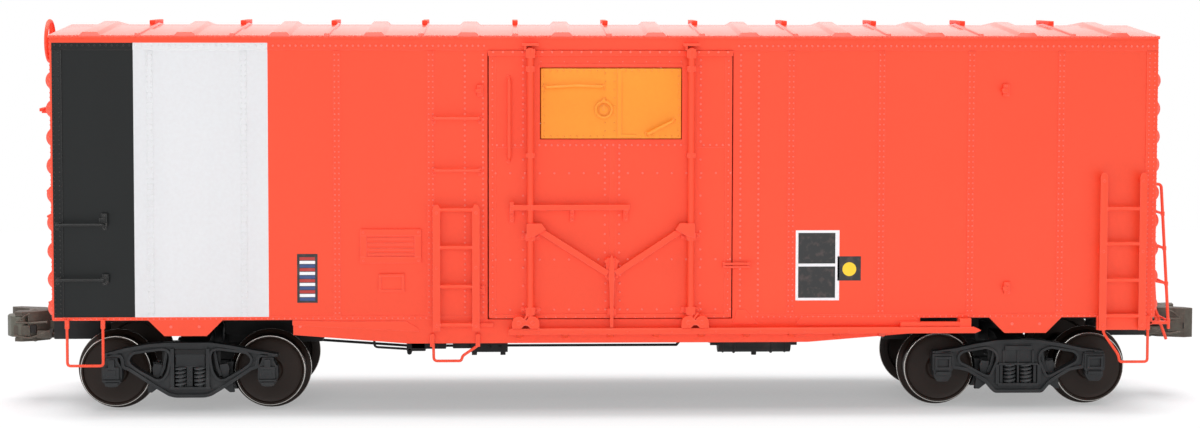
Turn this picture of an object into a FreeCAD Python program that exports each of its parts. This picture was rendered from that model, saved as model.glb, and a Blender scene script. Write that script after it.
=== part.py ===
import FreeCAD, Part
import math
import os
from types import SimpleNamespace
from FreeCAD import Placement, Rotation, Vector

# HO scale (1:87.1) plug door boxcar: moulded body of sides, ends and roof, doors on
# tracks, black underframe, two swivelling trucks with free wheelsets, sprung couplers.
# Frame: +X towards the A end, +Z up, origin on the rail side of the flanges at mid length.
# The right side of the car faces -Y, and the brake wheel is on the B end at -X.
# Both sides and both ends are the same turned half a turn about +Z, brake wheel apart.

os.makedirs("parts", exist_ok=True)
doc = FreeCAD.newDocument("boxcar")
sheet = doc.addObject("Spreadsheet::Sheet", "dims")

DIMENSIONS = (
    # name, value in mm (angles in degrees), what it is
    ("body_length", 146.8, "over the end sheets"),
    ("body_width", 33.8, "over the side sheets"),
    ("wall", 1.0, "side, end and door thickness"),
    ("eave_height", 50.7, "top of the side sheets"),
    ("side_bottom", 13.3, "bottom edge of the side sheets"),
    ("floor_thickness", 1.0, "floor plate"),
    ("chord_height", 1.6, "raised top chord along the eave"),
    ("chord_proud", 0.15, "how far the top chord stands out"),
    ("sill_bottom", 10.1, "lowest edge of the fishbelly side sill"),
    ("sill_flat_half", 26.7, "half length of the sill's level bottom"),
    ("sill_end_half", 41.8, "half length of the whole side sill"),
    ("sill_end_bottom", 11.3, "bottom of the side sill at its ends"),
    ("tab_top_half", 4.9, "half length of a bolster tab at its top"),
    ("tab_bottom_half", 2.8, "half length of a bolster tab at its bottom"),
    ("tab_bottom", 11.2, "bottom edge of a bolster tab"),
    ("roof_rise", 1.1, "ridge above the roof's edge"),
    ("roof_edge", 0.35, "depth of the roof sheet's edge"),
    ("roof_sheet", 0.8, "thickness at the ridge"),
    ("roof_overhang", 0.3, "roof beyond each end sheet"),
    ("roof_end", 5.5, "outermost panel rib from the roof's end"),
    ("seam_caps", 11, "number of roof seam caps"),
    ("cap_width", 0.7, "seam cap"),
    ("cap_height", 0.3, "seam cap"),
    ("panel_base", 3.3, "raised roof panel rib at its foot"),
    ("panel_top", 1.9, "raised roof panel rib at its top"),
    ("panel_height", 0.45, "raised roof panel rib"),
    ("saddle_half", 3.9, "half width of a running board saddle"),
    ("saddle_width", 0.75, "saddle along the car"),
    ("saddle_rise", 0.35, "flat top of the saddles above the cap on the ridge"),
    ("end_ribs", 9, "number of pressed ribs in an end"),
    ("end_rib_drop", 5.7, "top end rib below the eave"),
    ("end_rib_rise", 1.46, "lowest end rib above the sheet's bottom edge"),
    ("end_rib_radius", 1.35, "end rib section"),
    ("end_rib_proud", 1.05, "end rib beyond the end sheet"),
    ("end_rib_half", 14.7, "half length of a rib at full section"),
    ("end_rib_taper", 1.1, "tapered length at each rib end"),
    ("door_centre", 0.25, "door opening from mid length"),
    ("door_width", 32.6, "door opening"),
    ("door_header", 1.95, "top of the door opening below the eave"),
    ("door_gap", 0.15, "between the door and its opening"),
    ("door_proud", 0.15, "door face beyond the side sheet"),
    ("hatch_centre", 0.05, "hatch from the door's centre"),
    ("hatch_width", 18.8, "loading hatch in the door"),
    ("hatch_height", 9.5, "loading hatch"),
    ("hatch_drop", 1.95, "top of the hatch below the door opening's"),
    ("hatch_gap", 0.1, "around the hatch"),
    ("hatch_proud", 0.12, "hatch face beyond the door's"),
    ("lock_bar_half", 10.65, "door lock bars from the door's centre"),
    ("lock_bar_radius", 0.42, "lock bar"),
    ("lock_bar_stand", 0.75, "lock bar axis off the door"),
    ("bar_guide_half", 0.7, "half width of a lock bar's guides"),
    ("head_bracket_half", 1.1, "half width of a lock bar's head bracket"),
    ("toggle_radius", 0.32, "toggle rods"),
    ("toggle_rise", 11.7, "outer end of the toggle rods above the body's bottom edge"),
    ("hub_rise", 5.6, "inner end of the toggle rods above the body's bottom edge"),
    ("post_rise", 8.7, "top of the centre post above the body's bottom edge"),
    ("post_radius", 0.4, "centre post"),
    ("lock_bar_rise", 0.3, "foot of the lock bars above the body's bottom edge"),
    ("lock_bar_drop", 1.1, "head of the lock bars below the eave"),
    ("handle_rise", 15.0, "operating handle above the body's bottom edge"),
    ("handle_left", 13.4, "left end of the handle from the door's centre"),
    ("handle_right", 2.5, "right end of the handle from the door's centre"),
    ("handle_depth", 0.8, "handle bar, up and down"),
    ("roller_gap", 0.15, "roller bracket above the track"),
    ("roller_height", 1.65, "roller bracket"),
    ("roller_width", 3.6, "roller bracket"),
    ("roller_offset", 0.6, "roller bracket outside its lock bar"),
    ("roller_back", 0.12, "roller bracket behind the front of its lock bar"),
    ("track_start", 13.3, "track's left end from mid length"),
    ("track_end", 49.0, "track's right end from mid length"),
    ("track_drop", 1.2, "top of the door track below the body's bottom edge"),
    ("track_depth", 0.7, "door track, up and down"),
    ("track_stand", 1.3, "door track off the side sheet"),
    ("track_lug_pitch", 6.05, "between the lugs under the track"),
    ("ladder_stand", 0.65, "ladder behind its stiles"),
    ("stile_width", 1.05, "ladder stile along the car"),
    ("stile_depth", 0.55, "ladder stile off the side"),
    ("rung_radius", 0.27, "ladder rungs"),
    ("wire_radius", 0.22, "grab irons and cut levers"),
    ("grab_stand", 1.0, "grab iron off the sheet"),
    ("grab_length", 6.1, "grab iron over its legs"),
    ("stirrup_radius", 0.26, "sill steps"),
    ("brake_wheel_radius", 3.1, "brake wheel"),
    ("brake_wheel_wire", 0.3, "brake wheel rim section"),
    ("brake_wheel_drop", 1.0, "brake wheel axis below the eave"),
    ("brake_wheel_side", 4.0, "brake wheel axis from the centre line"),
    ("brake_wheel_stand", 4.05, "brake wheel off the end sheet"),
    ("brake_shaft", 1.25, "between the brake wheel and its housing"),
    ("brake_housing_half", 1.5, "half width of the brake housing"),
    ("brake_housing_above", 0.9, "brake housing above the wheel's axis"),
    ("brake_housing_below", 2.8, "brake housing below the wheel's axis"),
    ("chain_rod_stand", 1.6, "chain rod off the end sheet"),
    ("brake_step_drop", 9.5, "brake step below the wheel's axis"),
    ("brake_step_width", 12.0, "brake step across the car"),
    ("brake_step_depth", 4.2, "brake step off the end sheet"),
    ("step_drop", 6.0, "sill steps' treads below the body's bottom edge"),
    ("centre_sill_half", 3.4, "half width of the centre sill"),
    ("centre_sill_bottom", 9.4, "between the trucks"),
    ("sill_over_truck", 11.1, "bottom of the sill above a truck"),
    ("sill_wall", 0.7, "centre sill web"),
    ("truck_inset", 17.4, "truck pivot inside the end sheet's face"),
    ("bolster_bearing", 10.55, "height of the truck's centre plate"),
    ("centre_plate_radius", 3.0, "truck and body centre plates"),
    ("plate_gap", 0.05, "between the two centre plates"),
    ("kingpin_radius", 1.1, "truck screw shank"),
    ("pin_clearance", 0.07, "radial, around a pin that turns"),
    ("wheelbase", 20.8, "between a truck's axles"),
    ("flange_radius", 5.43, "over the wheel flange"),
    ("tread_radius", 4.815, "33 inch wheel at scale"),
    ("back_to_back", 14.4, "between a wheelset's flanges"),
    ("wheel_width", 2.8, "over the wheel rim"),
    ("flange_width", 0.75, "flange at its root"),
    ("axle_radius", 1.05, "axle between its wheels"),
    ("journal_radius", 0.62, "axle in its bearing"),
    ("hub_proud", 0.25, "hub beyond the wheel rim's face"),
    ("journal_length", 1.1, "axle between hub and cone"),
    ("point_length", 1.4, "cone at each axle end"),
    ("frame_clearance", 0.95, "between a hub and the sideframe"),
    ("frame_thickness", 1.7, "sideframe"),
    ("box_proud", 0.75, "journal box lid beyond the sideframe"),
    ("box_step", 0.25, "journal box beyond the sideframe"),
    ("box_half_width", 1.25, "half width of a journal box"),
    ("lid_half", 0.93, "half width of a journal box lid"),
    ("spring_radius", 0.75, "truck springs"),
    ("coupler_height", 10.45, "coupler axis above the flanges"),
    ("pivot_inset", 1.8, "coupler pivot inside the end sheet's face"),
    ("coupler_length", 11.2, "coupler pivot to pulling face"),
    ("pivot_post_radius", 0.8, "coupler pivot post"),
    ("shank_half", 0.85, "half width of the coupler shank"),
    ("shank_height", 1.15, "coupler shank"),
    ("box_back", 2.2, "draft gear box behind the pivot"),
    ("box_mouth", 4.1, "draft gear box ahead of the pivot"),
    ("box_half", 4.4, "half width of the draft gear box"),
    ("box_below", 1.5, "draft gear box below the coupler's axis"),
    ("box_above", 1.45, "draft gear box above the coupler's axis"),
    ("box_wall", 0.6, "draft gear box"),
    ("head_height", 4.1, "coupler head"),
    ("knuckle_height", 2.9, "knuckle"),
    ("knuckle_pin_radius", 0.4, "knuckle pin"),
    ("tank_radius", 2.1, "air reservoir"),
    ("tank_length", 9.9, "air reservoir"),
    ("tank_start", 15.35, "left end of the reservoir from mid length"),
    ("tank_side", 8.2, "reservoir axis from the centre line"),
    ("tank_drop", 3.75, "reservoir axis below the floor"),
    ("union_radius", 0.45, "pipe unions in the reservoir's ends"),
    ("union_proud", 1.0, "pipe unions beyond the reservoir's ends"),
    ("cylinder_radius", 1.7, "brake cylinder"),
    ("cylinder_length", 7.0, "brake cylinder"),
    ("cylinder_end", 11.0, "right end of the brake cylinder from mid length"),
    ("cylinder_side", 8.4, "brake cylinder axis from the centre line"),
    ("cylinder_drop", 3.9, "brake cylinder axis below the floor"),
    ("valve_drop", 5.55, "bottom of the control valve below the floor"),
    ("rod_radius", 0.18, "brake rods and pipes"),
    ("rod_height", 6.9, "brake rods"),
)

for row, (name, value, what) in enumerate(DIMENSIONS, start=1):
    sheet.set(f"A{row}", name)
    sheet.set(f"B{row}", str(value))
    sheet.set(f"C{row}", what)
    sheet.setAlias(f"B{row}", name)
doc.recompute()
d = SimpleNamespace(**{name: float(sheet.get(name)) for name, value, what in DIMENSIONS})

# Values that follow from the driving dimensions
HALF_LENGTH = d.body_length / 2
HALF_WIDTH = d.body_width / 2
INNER_HALF = HALF_WIDTH - d.wall
DOOR_FACE = HALF_WIDTH + d.door_proud
DOOR_TOP = d.eave_height - d.door_header
TRACK_TOP = d.side_bottom - d.track_drop
HUB_FACE = d.back_to_back / 2 + d.wheel_width + d.hub_proud
CONE_START = HUB_FACE + d.journal_length
AXLE_TIP = CONE_START + d.point_length
FRAME_INSIDE = HUB_FACE + d.frame_clearance
FRAME_OUTSIDE = FRAME_INSIDE + d.frame_thickness
HALF_WHEELBASE = d.wheelbase / 2
AXLE_HEIGHT = d.flange_radius
COUPLER_PIVOT = HALF_LENGTH - d.pivot_inset
COUPLER_REACH = COUPLER_PIVOT + d.coupler_length
BOX_INNER = COUPLER_PIVOT - d.box_back
BOX_FRONT = COUPLER_PIVOT + d.box_mouth
BOX_BOTTOM = d.coupler_height - d.box_below
BOX_TOP = d.coupler_height + d.box_above
TRUCK_CENTRE = HALF_LENGTH - d.truck_inset
BRAKE_AXIS = d.eave_height - d.brake_wheel_drop
SUB_PARTS = []


def named(text):
    """Put the sheet's name before each of its aliases in an expression."""
    words = text.replace("-", " - ").split()
    return " ".join("dims." + word if hasattr(d, word) else word for word in words)


def bind(thing, **properties):
    """Bind properties of an object to expressions written in the sheet's own names."""
    for key, text in properties.items():
        place = {"x": "Placement.Base.x", "y": "Placement.Base.y", "z": "Placement.Base.z"}
        thing.setExpression(place.get(key, key), named(text))
    return thing


def keep(thing, label):
    """List an object as one of the sub-parts that are written out."""
    thing.Label = label
    SUB_PARTS.append(thing)
    return thing


def box(name, x, y, z, length, width, height):
    """A block with its low corner and its three sizes given as expressions."""
    return bind(doc.addObject("Part::Box", name), x=x, y=y, z=z, Length=length, Width=width, Height=height)


def fused(name, pieces):
    """Several overlapping objects joined into one."""
    joined = doc.addObject("Part::MultiFuse", name)
    joined.Shapes = pieces
    return joined


def cut(name, base, tool):
    """One object with another taken out of it."""
    trimmed = doc.addObject("Part::Cut", name)
    trimmed.Base = base
    trimmed.Tool = tool
    return trimmed


def feature(label, shape, turn=0.0, along=0.0):
    """A sub-part from a computed shape, turned about +Z and moved along the car where asked."""
    thing = doc.addObject("Part::Feature", label)
    thing.Shape = shape
    move = Placement(Vector(along, 0, 0), Rotation(Vector(0, 0, 1), turn))
    thing.Placement = move.multiply(thing.Placement)
    return keep(thing, label)


def outline_sketch(body, plane, loops, name):
    """A sketch of straight closed loops on one of the body's origin planes."""
    sketch = body.newObject("Sketcher::SketchObject", name)
    origin = {part.Role: part for part in body.Origin.OriginFeatures}
    sketch.AttachmentSupport = (origin[plane], [""])
    sketch.MapMode = "FlatFace"
    for loop in loops:
        corners = [Vector(a, b, 0) for a, b in loop]
        for start, end in zip(corners, corners[1:] + corners[:1]):
            sketch.addGeometry(Part.LineSegment(start, end), False)
    return sketch


def padded(label, plane, loops, thickness, offset="0"):
    """A PartDesign body: outline loops padded along the plane's normal from an offset."""
    body = doc.addObject("PartDesign::Body", label)
    sketch = outline_sketch(body, plane, loops, label + "_outline")
    bind(sketch, **{"AttachmentOffset.Base.z": offset})
    pad = body.newObject("PartDesign::Pad", label + "_pad")
    pad.Profile = sketch
    bind(pad, Length=thickness)
    return body


def rod(points, radius):
    """A bent wire: straight runs with a ball at each bend."""
    corners = [Vector(*point) for point in points]
    runs = []
    for start, end in zip(corners, corners[1:]):
        runs.append(Part.makeCylinder(radius, (end - start).Length, start, end - start))
    balls = [Part.makeSphere(radius, corner) for corner in corners[1:-1]]
    wire = runs[0].multiFuse(runs[1:] + balls) if len(runs) > 1 else runs[0]
    return wire.removeSplitter()


def block(x0, x1, y0, y1, z0, z1):
    """A computed block between two corners."""
    return Part.makeBox(x1 - x0, y1 - y0, z1 - z0, Vector(x0, y0, z0))


def prism(points, direction):
    """A closed outline of points pushed along a direction."""
    ring = Part.makePolygon([Vector(*point) for point in points] + [Vector(*points[0])])
    return Part.Face(ring).extrude(Vector(*direction))


def joined(shapes):
    """Computed shapes fused into one, with the seams cleaned off."""
    return shapes[0].multiFuse(shapes[1:]).removeSplitter()


def turned_copy(thing, label):
    """The same piece on the other side of the car, half a turn about +Z away."""
    return feature(label, thing.Shape.copy(), turn=180.0)


def mirrored_loop(half):
    """A closed outline from its right half, listed from the bottom centre round to the top."""
    return half + [(-a, b) for a, b in reversed(half)]


# ---------------------------------------------------------------- sides
# Each side sheet reaches from the eave down to the fishbelly sill and the bolster tabs.
door_left = d.door_centre - d.door_width / 2
door_right = d.door_centre + d.door_width / 2
tab = TRUCK_CENTRE
side_half = [
    (d.sill_flat_half, d.sill_bottom),
    (d.sill_end_half, d.sill_end_bottom),
    (d.sill_end_half, d.side_bottom),
    (tab - d.tab_top_half, d.side_bottom),
    (tab - d.tab_bottom_half, d.tab_bottom),
    (tab + d.tab_bottom_half, d.tab_bottom),
    (tab + d.tab_top_half, d.side_bottom),
    (HALF_LENGTH, d.side_bottom),
    (HALF_LENGTH, d.eave_height),
]
opening = [
    (door_left, d.side_bottom),
    (door_right, d.side_bottom),
    (door_right, DOOR_TOP),
    (door_left, DOOR_TOP),
]
side_sheet = padded("side_sheet", "XZ_Plane", [mirrored_loop(side_half), opening],
                    "wall", "body_width / 2 - wall")
top_chord = box("top_chord", "-body_length / 2", "-body_width / 2 - chord_proud",
                "eave_height - chord_height", "body_length", "chord_proud + wall / 2", "chord_height")
side_right = keep(fused("side_shape", [side_sheet, top_chord]), "side_right")

# ---------------------------------------------------------------- ends
# Pressed end sheets between the sides, with long ribs that taper out towards the corners.
roof_foot = INNER_HALF - 0.9
roof_under = d.eave_height + d.roof_edge + d.roof_rise - d.roof_sheet
end_outline = [
    (-INNER_HALF, d.side_bottom),
    (INNER_HALF, d.side_bottom),
    (INNER_HALF, d.eave_height),
    (roof_foot, d.eave_height),
    (0, roof_under),
    (-roof_foot, d.eave_height),
    (-INNER_HALF, d.eave_height),
]
end_sheet = padded("end_sheet", "YZ_Plane", [end_outline], "wall", "body_length / 2 - wall")


def end_rib(height):
    """One pressed rib: a round bar sunk in the sheet, coned down at both ends."""
    axis_x = HALF_LENGTH + d.end_rib_proud - d.end_rib_radius
    tip = d.end_rib_radius * 0.45
    middle = Part.makeCylinder(d.end_rib_radius, 2 * d.end_rib_half,
                               Vector(axis_x, -d.end_rib_half, height), Vector(0, 1, 0))
    cones = [Part.makeCone(d.end_rib_radius, tip, d.end_rib_taper,
                           Vector(axis_x, side * d.end_rib_half, height), Vector(0, side, 0))
             for side in (-1, 1)]
    rib = joined([middle] + cones)
    reach = d.end_rib_half + d.end_rib_taper + d.end_rib_radius
    outside = block(HALF_LENGTH - d.wall / 2, HALF_LENGTH + 2 * d.end_rib_radius, -reach, reach,
                    height - 2 * d.end_rib_radius, height + 2 * d.end_rib_radius)
    return rib.common(outside)


doc.recompute()
top_rib = d.eave_height - d.end_rib_drop
rib_pitch = (top_rib - d.side_bottom - d.end_rib_rise) / (d.end_ribs - 1)
rib_heights = [top_rib - i * rib_pitch for i in range(int(d.end_ribs))]
end_a = feature("end_a", joined([end_sheet.Shape] + [end_rib(height) for height in rib_heights]))
end_b = turned_copy(end_a, "end_b")

# ---------------------------------------------------------------- roof
# A shallow gabled sheet. Seam caps carry the running board saddles, and a raised panel rib
# runs from eave to ridge in the middle of every bay.
ROOF_HALF = HALF_LENGTH + d.roof_overhang
edge_top = d.eave_height + d.roof_edge
ridge_top = edge_top + d.roof_rise
roof_outline = [
    (-HALF_WIDTH, d.eave_height),
    (-roof_foot, d.eave_height),
    (0, roof_under),
    (roof_foot, d.eave_height),
    (HALF_WIDTH, d.eave_height),
    (HALF_WIDTH, edge_top),
    (0, ridge_top),
    (-HALF_WIDTH, edge_top),
]
roof_sheet = padded("roof_sheet", "YZ_Plane", [roof_outline],
                    "body_length + 2 * roof_overhang", "-body_length / 2 - roof_overhang")


def roof_bar(centre, base, top, height):
    """A bar of hat section across the roof that follows both slopes."""
    section = [(centre - base / 2, -d.wall / 4), (centre + base / 2, -d.wall / 4),
               (centre + top / 2, height), (centre - top / 2, height)]
    halves = []
    for side in (-1, 1):
        foot = [(x, side * HALF_WIDTH, edge_top + rise) for x, rise in section]
        slope = (0, -side * HALF_WIDTH, d.roof_rise)
        halves.append(prism(foot, slope))
    return joined(halves)


doc.recompute()
caps = int(d.seam_caps)
roof_pitch = 2 * (ROOF_HALF - d.roof_end) / caps
cap_places = [(i - (caps - 1) / 2) * roof_pitch for i in range(caps)]
panel_places = [(i - caps / 2) * roof_pitch for i in range(caps + 1)]
roof_bars = [roof_bar(x, d.cap_width, d.cap_width, d.cap_height) for x in cap_places]
roof_bars += [roof_bar(x, d.panel_base, d.panel_top, d.panel_height) for x in panel_places]
feature("roof", joined([roof_sheet.Shape] + roof_bars))


def saddle(x):
    """A flat-topped bracket over the ridge that once carried the running board."""
    half = d.saddle_half
    foot = ridge_top + d.cap_height
    drop = d.roof_rise * half / HALF_WIDTH
    top = foot + d.saddle_rise
    section = [(x - d.saddle_width / 2, -half, foot - drop), (x - d.saddle_width / 2, 0, foot),
               (x - d.saddle_width / 2, half, foot - drop), (x - d.saddle_width / 2, half, top),
               (x - d.saddle_width / 2, -half, top)]
    return prism(section, (d.saddle_width, 0, 0))


feature("running_board_saddles", Part.makeCompound([saddle(x) for x in cap_places]))

# ---------------------------------------------------------------- floor and underframe
keep(box("floor_plate", "-body_length / 2 + wall", "-body_width / 2 + wall", "side_bottom",
         "body_length - 2 * wall", "body_width - 2 * wall", "floor_thickness"), "floor")

CROSSBEARERS = (
    # distance from mid length, thickness, bottom at the centre sill, bottom at the side
    (12.5, 0.9, 9.9, 11.6),
    (26.0, 0.9, 9.9, 11.6),
    (40.0, 0.9, 10.6, 12.0),
)


def underframe_shape():
    """Channel centre sill with crossbearers and body bolsters, all under the floor."""
    top = d.side_bottom
    inner = TRUCK_CENTRE - d.centre_plate_radius - 0.6
    half = d.centre_sill_half
    sill = [block(-inner, inner, -half, half, d.centre_sill_bottom, top),
            block(-BOX_INNER, BOX_INNER, -half, half, d.sill_over_truck, top)]
    hollow = [block(-inner + d.sill_wall, inner - d.sill_wall, -half + d.sill_wall, half - d.sill_wall,
                    d.centre_sill_bottom - 1, top - d.sill_wall)]
    shape = joined(sill).cut(hollow[0])
    arms = []
    for distance, thickness, low, high in CROSSBEARERS:
        for end in (-1, 1):
            x = end * distance - thickness / 2
            for side in (-1, 1):
                web = [(x, side * (half - d.sill_wall / 2), low), (x, side * INNER_HALF, high),
                       (x, side * INNER_HALF, top), (x, side * (half - d.sill_wall / 2), top)]
                arms.append(prism(web, (thickness, 0, 0)))
    for end in (-1, 1):
        centre = end * TRUCK_CENTRE
        arms.append(block(centre - 2.5, centre + 2.5, -INNER_HALF, INNER_HALF, d.sill_over_truck + 0.4, top))
        plate_bottom = d.bolster_bearing + d.plate_gap
        arms.append(Part.makeCylinder(d.centre_plate_radius, top - plate_bottom,
                                      Vector(centre, 0, plate_bottom)))
        draft = [(end * (BOX_INNER - 1), -d.box_half, BOX_TOP), (end * HALF_LENGTH, -d.box_half, BOX_TOP),
                 (end * HALF_LENGTH, d.box_half, BOX_TOP), (end * (BOX_INNER - 1), d.box_half, BOX_TOP)]
        arms.append(prism(draft, (0, 0, top - BOX_TOP)))
    shape = joined([shape] + arms)
    for end in (-1, 1):
        hole = Part.makeCylinder(d.kingpin_radius, 3.0, Vector(end * TRUCK_CENTRE, 0, d.bolster_bearing - 1))
        shape = shape.cut(hole)
    return shape


feature("underframe", underframe_shape())

# ---------------------------------------------------------------- doors and hatches
door_plate = box("door_plate", "door_centre - door_width / 2 + door_gap",
                 "-body_width / 2 - door_proud", "side_bottom + door_gap",
                 "door_width - 2 * door_gap", "wall", "eave_height - door_header - side_bottom - 2 * door_gap")
hatch_hole = box("hatch_hole", "door_centre + hatch_centre - hatch_width / 2",
                 "-body_width / 2 - door_proud - wall", "eave_height - door_header - hatch_drop - hatch_height",
                 "hatch_width", "wall * 3", "hatch_height")
door_right_part = keep(cut("door_shape", door_plate, hatch_hole), "door_right")
hatch_right = keep(box("hatch_plate", "door_centre + hatch_centre - hatch_width / 2 + hatch_gap",
                       "-body_width / 2 - door_proud - hatch_proud",
                       "eave_height - door_header - hatch_drop - hatch_height + hatch_gap",
                       "hatch_width - 2 * hatch_gap", "wall", "hatch_height - 2 * hatch_gap"),
                   "hatch_right")


def roller_bracket(x, front, face):
    """Two round roller housings side by side over the track, joined by a web."""
    radius = d.roller_height / 2
    middle = TRACK_TOP + d.roller_gap + radius
    reach = d.roller_width / 2 - radius
    lobes = [Part.makeCylinder(radius, face - front, Vector(x + side * reach, front, middle), Vector(0, 1, 0))
             for side in (-1, 1)]
    web = block(x - reach, x + reach, front, face, middle - radius / 4, middle + radius / 2)
    return [web] + lobes


def door_gear_shape():
    """Lock bars with their brackets and rollers, the handle and the toggle rods of one door."""
    face = -DOOR_FACE
    axis_y = face - d.lock_bar_stand
    front = axis_y - d.lock_bar_radius
    bar_foot = d.side_bottom + d.lock_bar_rise
    bar_head = d.eave_height - d.lock_bar_drop
    post_x = d.door_centre + 0.2
    hub = Vector(post_x, axis_y, d.side_bottom + d.hub_rise)
    guide = d.bar_guide_half
    pieces = []
    for side in (-1, 1):
        x = d.door_centre + side * d.lock_bar_half
        pieces.append(Part.makeCylinder(d.lock_bar_radius, bar_head - bar_foot, Vector(x, axis_y, bar_foot)))
        pieces.append(block(x - d.head_bracket_half, x + d.head_bracket_half, front, face,
                            DOOR_TOP + d.door_gap, bar_head + 0.4))
        pieces += roller_bracket(x + side * d.roller_offset, front + d.roller_back, face)
        for low, high in ((DOOR_TOP - 3.15, DOOR_TOP - 1.55), (DOOR_TOP - 13.75, DOOR_TOP - 12.85)):
            pieces.append(block(x - guide, x + guide, front, face, low, high))
        knee = Vector(x - side * 0.25, axis_y, d.side_bottom + d.toggle_rise)
        gusset = [(x - side * 0.2, face, knee.z + 1.4), (x - side * 0.2, face, knee.z - 1.4),
                  (x - side * 2.2, face, knee.z + 0.2), (x - side * 2.2, face, knee.z + 1.4)]
        pieces.append(prism(gusset, (0, front - face, 0)))
        pieces.append(Part.makeCylinder(d.toggle_radius, (hub - knee).Length, knee, hub - knee))
    foot = TRACK_TOP + d.roller_gap
    pieces.append(Part.makeCylinder(d.post_radius, d.side_bottom + d.post_rise - foot,
                                    Vector(post_x, axis_y, foot)))
    pieces.append(Part.makeSphere(d.bar_guide_half, hub + Vector(0, 0, 1.8)))
    pieces.append(block(post_x - 0.6, post_x + 0.6, front, face, hub.z + 1.2, hub.z + 2.4))
    pieces.append(block(post_x - 0.6, post_x + 0.6, front, face, bar_foot, bar_foot + 1.4))
    low = d.side_bottom + d.handle_rise - d.handle_depth / 2
    high = low + d.handle_depth
    start = d.door_centre - d.handle_left
    end = d.door_centre + d.handle_right
    grip = 0.3
    pieces.append(block(start, end, axis_y - grip, axis_y + grip, low, high))
    pieces.append(block(start, start + 0.8, axis_y - grip, face, low - 1.9, high))
    pieces.append(block(end - 1.1, end, axis_y - grip, face, low - 1.6, high))
    pieces.append(block(start + 7.7, start + 8.4, axis_y - grip, face, low, high + 1.0))
    return joined(pieces)


gear_right = feature("door_gear_right", door_gear_shape())


def door_track_shape():
    """The bottom rail that a door rolls along, with lugs under it and a stop at its far end."""
    face = -HALF_WIDTH
    outer = face - d.track_stand
    bottom = TRACK_TOP - d.track_depth
    rail = block(-d.track_start, d.track_end, outer, face, bottom, TRACK_TOP)
    nose = prism([(d.track_end, outer, bottom), (d.track_end + 0.8, outer, (bottom + TRACK_TOP) / 2),
                  (d.track_end, outer, TRACK_TOP)], (0, d.track_stand, 0))
    pieces = [rail, nose, block(47.0, 48.5, outer + 0.3, face, bottom, d.side_bottom)]
    lugs = int((d.sill_end_half + d.track_start - 1.5) / d.track_lug_pitch)
    for i in range(lugs + 1):
        x = -d.track_start + 1.5 + i * d.track_lug_pitch
        web = [(x - 0.4, outer + 0.2, bottom), (x - 0.4, face, bottom), (x - 0.4, face, bottom - 0.6)]
        pieces.append(prism(web, (0.8, 0, 0)))
    hanger = block(46.9, 48.6, face, face + d.wall, bottom, d.side_bottom)
    return joined(pieces + [hanger])


track_right = feature("door_track_right", door_track_shape())

# ---------------------------------------------------------------- ladders, grab irons, steps
SIDE_LADDERS = (
    # left edge, right edge, foot and head above the body's bottom edge, rungs above it
    (HALF_LENGTH - 7.75, HALF_LENGTH - 1.45, -1.6, 19.5, (14.7, 10.0, 5.1, 0.3)),
    (-23.3, -17.1, -1.4, 15.4, (14.95, 9.7, 4.5, -0.7)),
)


def side_ladder(left, right, bottom, top, rungs):
    """Two flat stiles on feet, joined by round rungs."""
    face = -HALF_WIDTH
    back = face - d.ladder_stand
    front = back - d.stile_depth
    bottom += d.side_bottom
    top += d.side_bottom
    pieces = []
    for x in (left, right - d.stile_width):
        pieces.append(block(x, x + d.stile_width, front, back, bottom, top))
        for foot in (bottom + 2.2, (bottom + top) / 2, top - 0.6):
            pieces.append(block(x + 0.2, x + d.stile_width - 0.2, back, face, foot, foot + 0.6))
    middle = (front + back) / 2
    for height in rungs:
        z = d.side_bottom + height
        pieces.append(rod([(left + 0.3, middle, z), (right - 0.3, middle, z)], d.rung_radius))
    return joined(pieces)


ladders_right = feature("ladders_right", Part.makeCompound([side_ladder(*row) for row in SIDE_LADDERS]))

SIDE_GRABS = (
    # left leg, height above the body's bottom edge
    (-HALF_LENGTH + 0.6, 12.8),
    (-HALF_LENGTH + 0.6, 5.4),
    (-23.2, 19.9),
    (-23.2, 26.9),
)
END_GRABS = (
    # outer leg inside the side's face, height above the bottom edge, away from the end ladder
    (2.3, 17.0),
    (2.3, 13.6),
    (2.3, 5.3),
)


def side_grab(left, height):
    """A bent wire with both legs in the side sheet."""
    face = -HALF_WIDTH
    out = face - d.grab_stand
    right = left + d.grab_length
    height += d.side_bottom
    return rod([(left, face, height), (left, out, height), (right, out, height), (right, face, height)],
               d.wire_radius)


def end_grab(inset, height):
    """The same wire across the A end."""
    out = HALF_LENGTH + d.grab_stand
    outer = HALF_WIDTH - inset
    inner = outer - d.grab_length
    height += d.side_bottom
    wire = rod([(HALF_LENGTH, outer, height), (out, outer, height), (out, inner, height),
                (HALF_LENGTH, inner, height)], d.wire_radius)
    return wire.cut(end_a.Shape)


grabs = [side_grab(*row) for row in SIDE_GRABS] + [end_grab(*row) for row in END_GRABS]
grabs_right = feature("grab_irons_right", Part.makeCompound(grabs))


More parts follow.
